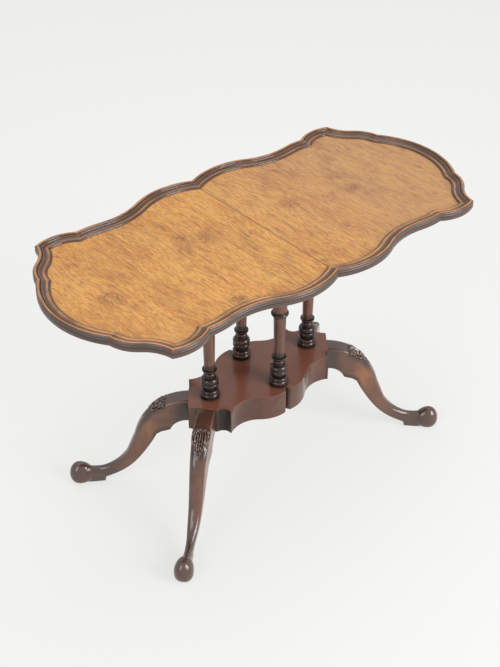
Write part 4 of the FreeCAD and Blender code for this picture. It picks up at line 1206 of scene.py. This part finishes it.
def carry_moulding(section, stretches, before, after):
    """Carry the section along a run of arcs and mitre it to the lengths before and after it."""
    mesh = bmesh.new()
    inset = mesh.verts.layers.float.new("inset")
    along = mesh.verts.layers.float.new("along")
    draw(mesh, section, SECTION_STEP, closed=True)
    soften_corners(mesh, bpy.context.scene.rim_moulding.worn_arris)
    for vert in mesh.verts:
        vert[inset] = vert.co.x
    reach = max(vert.co.x for vert in mesh.verts)
    first = circle_of(stretches[0])
    inward = outward_at(stretches[0], stretches[0].start) * -1
    stand = Matrix((inward, UP, inward.cross(UP))).transposed().to_4x4()
    bmesh.ops.transform(
        mesh, matrix=Matrix.Translation(stretches[0].start) @ stand, verts=mesh.verts[:]
    )
    lead_in = Matrix.Rotation(-first.sense * reach / first.radius, 3, UP)
    bmesh.ops.rotate(mesh, cent=first.centre, matrix=lead_in, verts=mesh.verts[:])
    ring = mesh.verts[:] + mesh.edges[:]
    travelled = -reach
    for stretch in stretches:
        circle = circle_of(stretch)
        overruns = [stretch is stretches[0], stretch is stretches[-1]].count(True)
        turn = circle.turn + overruns * reach / circle.radius
        steps = math.ceil(turn * circle.radius / OUTLINE_STEP)
        for _ in range(steps):
            spun = bmesh.ops.spin(
                mesh,
                geom=ring,
                cent=circle.centre,
                axis=UP * circle.sense,
                angle=turn / steps,
                steps=1,
            )
            ring = spun["geom_last"]
            travelled += circle.radius * turn / steps
            for vert in verts_of(ring):
                vert[along] = travelled
    ends = (
        (stretches[0].start, stretches[0], before, -1),
        (stretches[-1].end, stretches[-1], after, 1),
    )
    for corner, own, neighbour, side in ends:
        mitre = (outward_at(own, corner) + outward_at(neighbour, corner)).normalized()
        bmesh.ops.bisect_plane(
            mesh,
            geom=mesh.verts[:] + mesh.edges[:] + mesh.faces[:],
            dist=MERGE_DISTANCE,
            plane_co=corner,
            plane_no=UP.cross(mitre) * side,
            clear_outer=True,
        )
    open_edges = [edge for edge in mesh.edges if edge.is_boundary]
    bmesh.ops.holes_fill(mesh, edges=open_edges, sides=0)
    return mesh


def rim_lengths(quarter):
    """The fourteen lengths of moulding: name, stretches, and the stretches before and after."""
    lengths = []
    neighbours = {
        "shoulder": (quarter["end"][0], quarter["corner"][0]),
        "corner": (quarter["shoulder"][-1], quarter["side"][0]),
        "side": (quarter["corner"][0], mirrored(quarter["side"], -1, 1)[0]),
    }
    for place, x_sign, y_sign in QUARTERS:
        for name, (before, after) in neighbours.items():
            before, after = (mirrored([side], x_sign, y_sign)[0] for side in (before, after))
            if x_sign != y_sign:
                before, after = after, before
            run = mirrored(quarter[name], x_sign, y_sign)
            lengths.append((f"rim_{name}_{place}", run, before, after))
    shoulders = mirrored(quarter["shoulder"], 1, -1)[-1], quarter["shoulder"][0]
    lengths.append(("rim_end_right", quarter["end"], *shoulders))
    turned = [mirrored([side], -1, -1)[0] for side in shoulders]
    lengths.append(("rim_end_left", mirrored(quarter["end"], -1, -1), *turned))
    return lengths


class TEATABLE_OT_rim(bpy.types.Operator):
    """Model the mitred lengths of moulding round the tray"""

    bl_idname = "teatable.rim"
    bl_label = "Rim moulding"

    def execute(self, context):
        scene = context.scene
        section = rim_section(scene.rim_moulding)
        quarter = tray_quarter(scene.tray_outline)
        material = rim_timber(scene.wood_finish)
        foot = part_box("rim_end_right")[0].z
        for node, stretches, before, after in rim_lengths(quarter):
            mesh = carry_moulding(section, stretches, before, after)
            bmesh.ops.translate(mesh, vec=UP * foot, verts=mesh.verts[:])
            finish_piece(mesh, f"{node}_moulding", [node], material)
        return {"FINISHED"}


class TEATABLE_OT_top_board(bpy.types.Operator):
    """Model the board under the veneer, with its lower edge rounded"""

    bl_idname = "teatable.top_board"
    bl_label = "Top board"

    def execute(self, context):
        scene = context.scene
        sizes = scene.tray_outline
        low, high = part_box("ground_board")
        mesh = bmesh.new()
        draw(mesh, tray_outline(tray_quarter(sizes)), OUTLINE_STEP, closed=True)
        raise_slab(mesh, low.z, high.z)
        middle = (low.z + high.z) / 2
        lower = [edge for edge in mesh.edges if all(vert.co.z < middle for vert in edge.verts)]
        bevel(mesh, lower, sizes.board_arris, segments=4)
        material = board_timber(scene.wood_finish)
        finish_piece(mesh, "top_board", ["ground_board"], material)
        return {"FINISHED"}


class TEATABLE_OT_veneer(bpy.types.Operator):
    """Finish the two leaves of figured veneer"""

    bl_idname = "teatable.veneer"
    bl_label = "Veneer"

    def execute(self, context):
        material = panel_veneer(context.scene.wood_finish)
        for name in ("veneer_left", "veneer_right"):
            refinish_node(name, material)
        return {"FINISHED"}


class TEATABLE_OT_joinery(bpy.types.Operator):
    """Finish the bearer block, its screws and the dowels of the legs"""

    bl_idname = "teatable.joinery"
    bl_label = "Block, screws and dowels"

    def execute(self, context):
        finish = context.scene.wood_finish
        refinish_node("bearer_block", bearer_timber(finish))
        refinish_node("bearer_screws", tarnished_brass(finish))
        refinish_node("leg_dowels", dowel_timber(finish))
        return {"FINISHED"}


# ---------------------------------------------------------------- columns

RING_WAIST = 0.54            # how far up the ring or the bulb its two rounds meet
BULB_WAIST = 0.45
TURNING_STEP = 0.0012
TURNINGS = (
    "foot_ring_height", "neck_height", "bulb_height", "bead_seat_height", "bead_height",
    "cup_height", "cup_lip_height", "shaft_length", "band_height",
)
Tops = namedtuple("Tops", "ring neck bulb bead_seat bead cup lip shaft band")


def turning_tops(sizes):
    """The height of the top of each turning above the platform."""
    return Tops(*accumulate(getattr(sizes, turning) for turning in TURNINGS))


def paired_rounds(foot, head, waist_share, lower_radius, upper_radius, waist_depth):
    """Two turned rounds, one on the other, that meet in a waist."""
    waist = spot(upper_radius - waist_depth, foot.y + (head.y - foot.y) * waist_share)
    rounds = []
    for start, end, radius in ((foot, waist, lower_radius), (waist, head, upper_radius)):
        chord = end - start
        outward = chord.y / chord.length
        rounds.append(Stretch(start, end, (radius - (start.x + end.x) / 2) / outward))
    return rounds


def column_section(sizes, height):
    """Half the section of a column, drawn upwards from the end of its foot tenon."""
    tops = turning_tops(sizes)
    cap_foot = height - sizes.cap_height
    ring = [spot(sizes.foot_ring_seat, 0), spot(sizes.foot_ring_seat, tops.ring)]
    bulb = [spot(sizes.neck_radius, tops.neck), spot(sizes.neck_radius, tops.bulb)]
    bead = [spot(sizes.neck_radius, tops.bead_seat), spot(sizes.neck_radius, tops.bead)]
    band = [spot(sizes.band_seat, tops.shaft), spot(sizes.band_seat, tops.band)]
    cup_rim = spot(sizes.cup_radius, tops.cup)
    return (
        chain(
            spot(0, -sizes.tenon_foot_length),
            spot(sizes.tenon_foot_radius, -sizes.tenon_foot_length),
            spot(sizes.tenon_foot_radius, 0),
            ring[0],
        )
        + paired_rounds(
            *ring, RING_WAIST, sizes.foot_ring_radius, sizes.ring_crown_radius, sizes.waist_depth
        )
        + chain(ring[1], spot(sizes.neck_radius, tops.ring), bulb[0])
        + paired_rounds(
            *bulb, BULB_WAIST, sizes.bulb_radius, sizes.bulb_radius, sizes.waist_depth
        )
        + chain(bulb[1], bead[0])
        + [
            Stretch(*bead, sizes.bead_radius - sizes.neck_radius),
            Stretch(bead[1], cup_rim, -sizes.cup_hollow_rise),
        ]
        + chain(
            cup_rim,
            spot(sizes.cup_radius, tops.lip),
            spot(sizes.shaft_foot_radius, tops.lip),
            spot(sizes.shaft_head_radius, tops.shaft),
            band[0],
        )
        + [Stretch(*band, sizes.band_radius - sizes.band_seat)]
        + chain(
            band[1],
            spot(sizes.upper_shaft_head, cap_foot),
            spot(sizes.cap_radius, cap_foot),
            spot(sizes.cap_radius, height),
            spot(sizes.tenon_head_radius, height),
            spot(sizes.tenon_head_radius, height + sizes.tenon_head_length),
            spot(0, height + sizes.tenon_head_length),
        )
    )


class TEATABLE_OT_columns(bpy.types.Operator):
    """Turn the four columns"""

    bl_idname = "teatable.columns"
    bl_label = "Columns"

    def execute(self, context):
        scene = context.scene
        sizes = scene.column_turning
        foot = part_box("platform")[1].z
        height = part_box("bearer_block")[0].z - foot
        tops = turning_tops(sizes)
        material = column_timber(
            scene.wood_finish,
            lip=foot + tops.lip,
            band=foot + (tops.shaft + tops.band) / 2,
            cap=foot + height - sizes.cap_height,
        )
        for node in ("column_left", "column_right", "column_front", "column_back"):
            low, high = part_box(node)
            mesh = bmesh.new()
            draw(mesh, column_section(sizes, height), TURNING_STEP)
            soften_corners(mesh, sizes.arris)
            bmesh.ops.transform(mesh, matrix=UPRIGHT, verts=mesh.verts[:])
            bmesh.ops.spin(
                mesh,
                geom=mesh.verts[:] + mesh.edges[:],
                cent=(0, 0, 0),
                axis=UP,
                angle=math.tau,
                steps=sizes.steps,
                use_merge=True,
            )
            centre = (low + high) / 2
            bmesh.ops.translate(mesh, vec=(centre.x, centre.y, foot), verts=mesh.verts[:])
            finish_piece(mesh, f"{node}_turning", [node], material)
        return {"FINISHED"}


# ---------------------------------------------------------------- platform


def platform_quarter(sizes, legs):
    """The platform's outline from its right point to the notch in its back side."""
    half_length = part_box("platform")[1].x
    half_width = sizes.width / 2
    seat_end = legs.seat_from_point + legs.width / 2 + legs.seat_margin
    tip = spot(half_length, 0)
    seat_edge = spot(
        half_length - math.sin(legs.angle_in_plan) * seat_end,
        math.cos(legs.angle_in_plan) * seat_end,
    )
    hip = spot(seat_edge.x - sizes.hip_run, half_width - sizes.hip_drop)
    lobe_foot = spot(sizes.lobe_reach, half_width - sizes.lobe_drop)
    lip = spot(sizes.notch_width / 2, half_width)
    notch = spot(0, half_width - sizes.notch_depth)
    return [
        Stretch(tip, seat_edge, 0),
        Stretch(seat_edge, hip, -sizes.cove_rise),
        Stretch(hip, lobe_foot, -sizes.hollow_rise),
        Stretch(lobe_foot, lip, sizes.lobe_rise),
        Stretch(lip, notch, 0),
    ]


def is_upright(edge):
    start, end = (vert.co for vert in edge.verts)
    return abs(end.z - start.z) > abs(end.x - start.x) + abs(end.y - start.y)


class TEATABLE_OT_platform(bpy.types.Operator):
    """Model the shaped platform, with its edges eased"""

    bl_idname = "teatable.platform"
    bl_label = "Platform"

    def execute(self, context):
        scene = context.scene
        sizes = scene.platform_shape
        low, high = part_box("platform")
        quarter = platform_quarter(sizes, scene.leg_shape)
        right = mirrored(quarter, 1, -1) + quarter
        mesh = bmesh.new()
        draw(mesh, right + mirrored(right, -1, -1), OUTLINE_STEP, closed=True)
        soften_corners(mesh, sizes.point_arris)
        raise_slab(mesh, low.z, high.z)
        level = [
            edge for edge in mesh.edges
            if not is_upright(edge) and edge.calc_face_angle(0) > SHARP_ANGLE
        ]
        bevel(mesh, level, sizes.arris, segments=3)
        cove = (quarter[1].start + quarter[1].end) / 2
        material = platform_timber(scene.wood_finish, cove)
        platform = finish_piece(mesh, "shaped_platform", ["platform"], material)
        flatten_shading(platform)
        return {"FINISHED"}


# ---------------------------------------------------------------- legs

ANKLE = 0.9                  # where the ankle is slimmest, as a share of the taper
ANKLE_SPREAD = 0.12
TAB_LEAD = 0.01              # the tab's section meets the top this far before the shoulder
KNEE_BACK_LAG = 0.008        # and the back of the knee's this far after it

# How square a leg's section is, as the power of its curve: 2 is an ellipse, 20 nearly a box.
# Each stop is (millimetres along the leg's outer line, power).
OUTER_SQUARENESS = ((0, 14), (38, 12), (54, 6), (72, 3.8), (150, 3), (210, 2.8), (275, 2.5))
INNER_SQUARENESS = ((0, 22), (64, 22), (80, 14), (150, 7), (210, 5), (275, 4))
FOOT_SQUARENESS = (2.5, 4)   # outer and inner, through the neck and the ball foot

NECK_START = 0.0003          # the neck's first section stands this far off the instep's last
NECK_STEPS = 10
BALL_STEPS = 48
FOOT_END = 0.985             # how far the sections go round the ball foot, as a share
NECK_FADE = 0.011            # behind the middle of the ball foot, where its neck has ended
LOWER_FULLNESS = 2.6         # power of the ball foot's curve below its widest place
UPPER_FULLNESS = 2.0

# The carved leaf: each vein is a curve through three points (across, along) in millimetres from
# the start of the carving, with its half width and its height as a share of the relief.
Vein = namedtuple("Vein", "start middle end half_width height")
LEAF_VEINS = (
    Vein((0, 2), (0, 10), (0, 24), 1.5, 1.0),
    Vein((2.5, 3), (4.8, 12), (4.3, 25), 1.5, 0.95),
    Vein((4, 2), (10.4, 9), (9, 26.5), 1.6, 1.0),
    Vein((6, 1), (17, 7), (14.6, 25), 1.7, 0.95),
    Vein((9, -1), (18, -1), (19, 8), 1.5, 0.9),
    Vein((14.6, 25), (14, 32), (10.5, 30), 1.5, 0.9),
    Vein((19, 11), (20, 18), (18.5, 27), 1.5, 0.7),
    Vein((0, 27), (0, 33), (0, 40), 1.6, 0.95),
    Vein((3.8, 28), (5, 34), (2.9, 41), 1.4, 0.9),
    Vein((7.8, 31), (9.2, 35), (6, 41), 1.3, 0.8),
    Vein((0, 43), (0, 50), (0, 60), 1.4, 0.9),
    Vein((2.7, 44), (3.4, 50), (1, 57), 1.1, 0.75),
)
VEIN_PIECES = 6              # straight pieces that a vein's curve is measured in
CARVED_LENGTH = 0.062
CARVED_WRAP = 0.0095         # how far the carving goes down the sides of the knee
GROUND_DEPTH = 0.45          # of the sunk ground round the veins, as a share of the relief
GROUND_START = 3             # millimetres in which the ground sinks from the leaf's start
GROUND_END = 60              # where it has risen again, and over how many millimetres
GROUND_RISE = 14
GROUND_HALF_WIDTH = 25       # at the start of the leaf, and how fast it narrows
GROUND_NARROWING = 0.24
GROUND_EDGE = 2.5            # millimetres in which it sinks from its sides


def leg_lines(sizes):
    """The outer and inner lines of a leg from the side, down from its seat to its foot."""
    low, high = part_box("platform")
    top = high.z - sizes.top_step
    spring = low.z + sizes.spring_step
    shoulder = spot(sizes.shoulder_reach, top - sizes.shoulder_drop)
    knee = spot(sizes.knee_reach, top - sizes.knee_drop)
    shin = spot(sizes.shin_reach, sizes.shin_height)
    instep = spot(sizes.instep_reach, sizes.instep_height)
    arch_end = spot(sizes.arch_reach, spring - sizes.arch_drop)
    tab = spot(sizes.tab_reach, spring - sizes.tab_drop)
    knee_back = spot(sizes.knee_back_reach, spring - sizes.knee_back_drop)
    calf = spot(sizes.calf_reach, sizes.calf_height)
    heel = spot(sizes.heel_reach, sizes.heel_height)
    outer = [
        Stretch(spot(0, top), shoulder, -sizes.shoulder_rise),
        Stretch(shoulder, knee, -sizes.knee_rise),
        Stretch(knee, shin, 0),
        Stretch(shin, instep, sizes.instep_rise),
        Stretch(instep, spot(sizes.waist_reach, sizes.waist_height), sizes.waist_rise),
    ]
    inner = [
        Stretch(spot(0, spring), arch_end, -sizes.arch_rise),
        Stretch(arch_end, tab, 0),
        Stretch(tab, knee_back, 0),
        Stretch(knee_back, calf, sizes.calf_rise),
        Stretch(calf, heel, sizes.heel_rise),
    ]
    return outer, inner


def limited(share):
    """A share kept between 0 and 1."""
    return min(1, max(0, share))


def leg_width(sizes, reach):
    """The leg's width at a reach from its seat."""
    run = sizes.instep_reach - sizes.taper_reach
    share = limited((reach - sizes.taper_reach) / run)
    straight_width = sizes.width + (sizes.ankle_width - sizes.width) * share
    fullness = 2 * sizes.taper_fullness * 4 * share * (1 - share)
    waist = sizes.ankle_waist * math.exp(-(((share - ANKLE) / ANKLE_SPREAD) ** 2))
    return straight_width + fullness - waist


def blended(share, stops):
    """A value that runs evenly between stops of (share, value)."""
    for (low, first), (high, second) in zip(stops, stops[1:]):
        if share <= high:
            return first + (second - first) * (share - low) / (high - low)
    return stops[-1][1]


Section = namedtuple("Section", "outer inner width squareness back_squareness along")


def leg_sections(sizes):
    """The sections that a leg is lofted through, from its seat to the tip of its foot."""
    outer, inner = leg_lines(sizes)
    outer_marks = list(accumulate(stretch_length(stretch) for stretch in outer))
    inner_marks = list(accumulate(stretch_length(stretch) for stretch in inner))
    outer_length = outer_marks[-1]
    pairs = (
        (0, 0),
        (sizes.carving_start, inner_marks[0]),
        (outer_marks[0] - TAB_LEAD, inner_marks[1]),
        (outer_marks[0] + KNEE_BACK_LAG, inner_marks[2]),
        (outer_marks[2], inner_marks[3]),
        (outer_length, inner_marks[4]),
    )
    sections = []
    travelled = 0.0
    while travelled < outer_length:
        sections.append(shank_section(sizes, outer, inner, pairs, travelled))
        carved = sizes.carving_start < travelled < sizes.carving_start + CARVED_LENGTH
        travelled += sizes.carved_step if carved else sizes.loft_step
    sections.append(shank_section(sizes, outer, inner, pairs, outer_length))
    return sections + foot_sections(sizes, outer_length)


def shank_section(sizes, outer, inner, pairs, travelled):
    """The section at a distance along the outer line, which the pairs match to the inner one."""
    top = point_along(outer, travelled)
    bottom = point_along(inner, blended(travelled, pairs))
    millimetres = travelled * 1000
    return Section(
        top,
        bottom,
        leg_width(sizes, (top.x + bottom.x) / 2),
        blended(millimetres, OUTER_SQUARENESS),
        blended(millimetres, INNER_SQUARENESS),
        travelled,
    )


def soft_maximum(first, second, softness):
    """The larger of two numbers, blended where they are nearly alike."""
    gap = first - second
    return (first + second + math.sqrt(gap * gap + softness * softness)) / 2


def foot_sections(sizes, travelled):
    """Upright sections through the foot's neck and round the ball foot."""
    waist = spot(sizes.waist_reach + NECK_START, sizes.waist_height)
    sole = spot(sizes.sole_reach, sizes.sole_lift)
    neck_head = spot(sizes.foot_reach - sizes.foot_back, sizes.waist_height)
    neck_foot = spot(neck_head.x, 0)
    slim_width = leg_width(sizes, sizes.waist_reach)
    sections = []
    for number in range(NECK_STEPS):
        share = number / NECK_STEPS
        top = waist.lerp(neck_head, share)
        bottom = sole.lerp(neck_foot, share)
        width = slim_width + (sizes.ankle_width - slim_width) * share
        along = travelled + top.x - waist.x
        sections.append(Section(top, bottom, width, *FOOT_SQUARENESS, along))
    for number in range(BALL_STEPS + 1):
        swing = math.pi * FOOT_END * number / BALL_STEPS
        arm = sizes.foot_back if swing < math.pi / 2 else sizes.foot_front
        reach = sizes.foot_reach - arm * math.cos(swing)
        along = travelled + reach - waist.x
        neck = (spot(reach, sizes.waist_height), spot(reach, 0))
        sections.append(Section(*neck, sizes.ankle_width, *FOOT_SQUARENESS, along))
    return sections


def swell_foot(sizes, point):
    """Carry a point of the neck's section out to the ball foot, where that lies outside it."""
    ahead = point.x - sizes.foot_reach
    offset = ahead / (sizes.foot_front if ahead > 0 else sizes.foot_back)
    if offset <= -1:
        return point
    ray = Vector((point.y, point.z - sizes.foot_swell))
    reach = ray.length
    ray.normalize()
    upright, power = sizes.foot_swell, LOWER_FULLNESS
    if ray.y > 0:
        upright, power = sizes.foot_height - sizes.foot_swell, UPPER_FULLNESS
    across = abs(ray.x) * 2 / sizes.foot_width
    girth = (across**power + abs(ray.y / upright) ** power) ** (1 / power)
    ball = math.sqrt(max(0.0, 1 - offset * offset)) / girth
    neck = reach * limited(-ahead / NECK_FADE)
    swollen = soft_maximum(ball, neck, sizes.foot_crease if ahead < 0 else 0)
    height = max(0.0, sizes.foot_swell + ray.y * swollen)
    return Vector((point.x, ray.x * swollen, height))


def vein_height(across, along):
    """The carved height at a place on the knee in millimetres, as a share of the relief."""
    across = abs(across)
    side = GROUND_HALF_WIDTH - along * GROUND_NARROWING
    ground = -GROUND_DEPTH * limited(along / GROUND_START)
    ground *= limited((GROUND_END - along) / GROUND_RISE)
    ground *= limited((side - across) / GROUND_EDGE)
    height = ground
    place = Vector((across, along))
    for vein in LEAF_VEINS:
        last = Vector(vein.start)
        for number in range(1, VEIN_PIECES + 1):
            share = number / VEIN_PIECES
            start, middle, end = (Vector(point) for point in vein[:3])
            point = start.lerp(middle, share).lerp(middle.lerp(end, share), share)
            way = point - last
            near = limited((place - last).dot(way) / way.length_squared)
            away = (place - (last + way * near)).length / vein.half_width
            if away < 1:
                height = max(height, ground + (vein.height - ground) * math.sqrt(1 - away * away))
            last = point
    return height


def loft_leg(sizes):
    """One leg, standing along +X with the middle of its seat's foot at the origin."""
    sections = leg_sections(sizes)
    mesh = bmesh.new()
    layers = {
        name: mesh.verts.layers.float.new(name)
        for name in ("side", "face", "along", "across", "flank", "relief")
    }
    bmesh.ops.create_circle(mesh, segments=sizes.steps, radius=1)
    for vert in mesh.verts:
        scale = 1 / max(abs(vert.co.x), abs(vert.co.y))
        vert[layers["side"]] = vert.co.x * scale
        vert[layers["face"]] = vert.co.y * scale
    ring = mesh.edges[:]
    for section in sections:
        if section is not sections[0]:
            verts = verts_of(bmesh.ops.extrude_edge_only(mesh, edges=ring)["geom"])
            ring = [
                edge for edge in {edge for vert in verts for edge in vert.link_edges}
                if all(vert in verts for vert in edge.verts)
            ]
        else:
            verts = mesh.verts[:]
        for vert in verts:
            set_on_section(sizes, vert, layers, section)
    ends = [edge for edge in mesh.edges if edge.is_boundary]
    bmesh.ops.holes_fill(mesh, edges=ends, sides=0)
    return mesh


def set_on_section(sizes, vert, layers, section):
    """Move a vertex to its place on a section, and note where it is for the finish."""
    side, face = vert[layers["side"]], vert[layers["face"]]
    height = (section.outer - section.inner).length
    upward = (section.outer - section.inner) / height
    share = (face + 1) / 2
    power = section.back_squareness + (section.squareness - section.back_squareness) * share
    norm = (abs(side) ** power + abs(face) ** power) ** (1 / power)
    middle = (section.outer + section.inner) / 2
    rim = Vector((side / norm * section.width / 2, face / norm * height / 2))
    slope = Vector(
        (
            math.copysign(abs(side) ** (power - 1), side) / section.width,
            math.copysign(abs(face) ** (power - 1), face) / height,
        )
    ).normalized()
    over = side * section.width / 2
    if abs(side) > abs(face):
        over = math.copysign(section.width / 2 + (1 - face) * height / 2, side)
    elif face < 0:
        over = section.width + height
    relief = 0.0
    past = section.along - sizes.carving_start
    if 0 < past < CARVED_LENGTH and abs(over) < section.width / 2 + CARVED_WRAP:
        relief = sizes.carving_depth * vein_height(over * 1000, past * 1000)
    rim += slope * relief
    level = middle + upward * rim.y
    vert.co = swell_foot(sizes, Vector((level.x, -rim.x, level.y)))
    vert[layers["along"]] = section.along
    vert[layers["across"]] = over
    vert[layers["flank"]] = (1 - abs(face)) * height / 2
    vert[layers["relief"]] = relief


class TEATABLE_OT_legs(bpy.types.Operator):
    """Model the four cabriole legs, with their carved knees and ball feet"""

    bl_idname = "teatable.legs"
    bl_label = "Legs"

    def execute(self, context):
        scene = context.scene
        sizes = scene.leg_shape
        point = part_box("platform")[1].x
        turn = sizes.angle_in_plan
        seat = spot(
            point - math.sin(turn) * sizes.seat_from_point, math.cos(turn) * sizes.seat_from_point
        )
        material = leg_timber(scene.wood_finish)
        pattern = loft_leg(sizes)
        for place, x_sign, y_sign in QUARTERS:
            heading = turn if x_sign == y_sign else math.pi - turn
            if y_sign < 0:
                heading += math.pi
            mesh = pattern.copy()
            spin = Matrix.Rotation(heading, 3, UP)
            foot = seat * Vector((x_sign, y_sign, 1))
            bmesh.ops.rotate(mesh, cent=(0, 0, 0), matrix=spin, verts=mesh.verts[:])
            bmesh.ops.translate(mesh, vec=foot, verts=mesh.verts[:])
            finish_piece(mesh, f"cabriole_leg_{place}", [f"leg_{place}"], material)
        pattern.free()
        return {"FINISHED"}


# ---------------------------------------------------------------- stage

# The floor's tone pales from front to back: painted shade in front and painted light behind,
# evening out the lamps.
FLOOR_WAY = (0.24, 0.97)     # the way along the floor in which it pales, as x and y
FLOOR_PALING = (-0.6, 1.4)   # where it starts and ends


def floor_material(stage):
    """A pale floor that keeps a soft share of the table's shadow, with painted shade in front and
    painted light behind.
    """
    floor = Finish("pale_floor", specular=0.1)
    x, y, _ = floor.parts(floor.place)
    way_x, way_y = FLOOR_WAY
    depth = floor.maths("ADD", floor.product(x, way_x), floor.product(y, way_y))
    tone = floor.mix(floor.fade(depth, *FLOOR_PALING), stage.floor_near, stage.floor_far)
    floor.feed(floor.shader.inputs["Base Color"], tone)
    floor.shader.inputs["Roughness"].default_value = 0.9
    glow = floor.add("ShaderNodeEmission", {"Color": tone, "Strength": 1.0})
    share = floor.product(floor.seen_by_polish_or_camera(), 1 - stage.floor_shadow)
    shaders = {"Fac": share, 1: floor.shader.outputs["BSDF"], 2: glow.outputs["Emission"]}
    mixed = floor.add("ShaderNodeMixShader", shaders)
    floor.feed(floor.tree.nodes["Material Output"].inputs["Surface"], mixed.outputs["Shader"])
    return floor.material


def light_room(stage):
    """A pale room: plain light from all round, and a white backdrop for the camera."""
    world = bpy.data.worlds.new("pale_room")
    world.use_nodes = True
    nodes = Nodes(world.node_tree)
    background = world.node_tree.nodes["Background"].inputs
    seen = nodes.seen_by_polish_or_camera()
    nodes.feed(background["Color"], (*stage.room, 1))
    nodes.feed(background["Strength"], nodes.fade(seen, 0, 1, stage.room_light, 1.0))
    bpy.context.scene.world = world


# Each soft box: name, place, what it faces, width, height and brightness (white is 1).
SoftBox = namedtuple("SoftBox", "name place target width height brightness")
SOFT_BOXES = (
    SoftBox("left_box", (-2.3, -0.5, 1.45), (0, 0, 0.35), 1.1, 2.0, 2.6),
    SoftBox("front_box", (0.75, -2.3, 1.25), (0, 0, 0.35), 1.4, 1.8, 8.0),
    SoftBox("overhead_box", (0.1, 0.4, 2.9), (0, 0, 0.4), 2.0, 2.0, 1.5),
)


def add_soft_box(box):
    lamp = bpy.data.lights.new(box.name, "AREA")
    lamp.shape = "RECTANGLE"
    lamp.size = box.width
    lamp.size_y = box.height
    lamp.energy = box.brightness * math.pi * box.width * box.height
    item = bpy.data.objects.new(box.name, lamp)
    item.location = box.place
    aim = Vector(box.target) - Vector(box.place)
    item.rotation_euler = aim.to_track_quat("-Z", "Y").to_euler()
    item.visible_camera = False
    bpy.context.scene.collection.objects.link(item)


def add_camera(stage):
    lens = bpy.data.cameras.new("camera")
    lens.sensor_fit = "VERTICAL"
    lens.sensor_height = 36
    lens.lens = stage.camera_lens
    camera = bpy.data.objects.new("camera", lens)
    aim = (
        Matrix.Rotation(stage.camera_heading, 3, "Z")
        @ Matrix.Rotation(math.radians(90) - stage.camera_tilt, 3, "X")
        @ Matrix.Rotation(stage.camera_roll, 3, "Z")
    )
    camera.location = stage.camera_place
    camera.rotation_euler = aim.to_euler()
    bpy.context.scene.collection.objects.link(camera)
    bpy.context.scene.camera = camera


class TEATABLE_OT_stage(bpy.types.Operator):
    """Set up the camera, the soft boxes, the room and the floor"""

    bl_idname = "teatable.stage"
    bl_label = "Stage"

    def execute(self, context):
        stage = context.scene.studio_stage
        context.scene.view_settings.view_transform = "Standard"
        add_camera(stage)
        light_room(stage)
        for box in SOFT_BOXES:
            add_soft_box(box)
        mesh = bmesh.new()
        bmesh.ops.create_grid(mesh, x_segments=1, y_segments=1, size=stage.floor_size / 2)
        data = bpy.data.meshes.new("floor")
        mesh.to_mesh(data)
        mesh.free()
        data.materials.append(floor_material(stage))
        floor = bpy.data.objects.new("floor", data)
        context.scene.collection.objects.link(floor)
        return {"FINISHED"}


# ---------------------------------------------------------------- add-on

OPERATORS = (
    TEATABLE_OT_stage,
    TEATABLE_OT_rim,
    TEATABLE_OT_top_board,
    TEATABLE_OT_veneer,
    TEATABLE_OT_joinery,
    TEATABLE_OT_columns,
    TEATABLE_OT_platform,
    TEATABLE_OT_legs,
)


class TEATABLE_PT_sidebar(bpy.types.Panel):
    """Lists the pieces of the tea table"""

    bl_idname = "TEATABLE_PT_sidebar"
    bl_label = "Tray Top Tea Table"
    bl_space_type = "VIEW_3D"
    bl_region_type = "UI"
    bl_category = "Tea Table"

    def draw(self, context):
        for operator in OPERATORS:
            self.layout.operator(operator.bl_idname)


def register():
    for name, group in SETTINGS.items():
        bpy.utils.register_class(group)
        setattr(bpy.types.Scene, name, PointerProperty(type=group))
    for item in OPERATORS + (TEATABLE_PT_sidebar,):
        bpy.utils.register_class(item)


def unregister():
    for item in reversed(OPERATORS + (TEATABLE_PT_sidebar,)):
        bpy.utils.unregister_class(item)
    for name, group in SETTINGS.items():
        delattr(bpy.types.Scene, name)
        bpy.utils.unregister_class(group)


def main():
    register()
    bpy.ops.teatable.stage()
    bpy.ops.teatable.rim()
    bpy.ops.teatable.top_board()
    bpy.ops.teatable.veneer()
    bpy.ops.teatable.joinery()
    bpy.ops.teatable.columns()
    bpy.ops.teatable.platform()
    bpy.ops.teatable.legs()


if __name__ == "__main__":
    main()
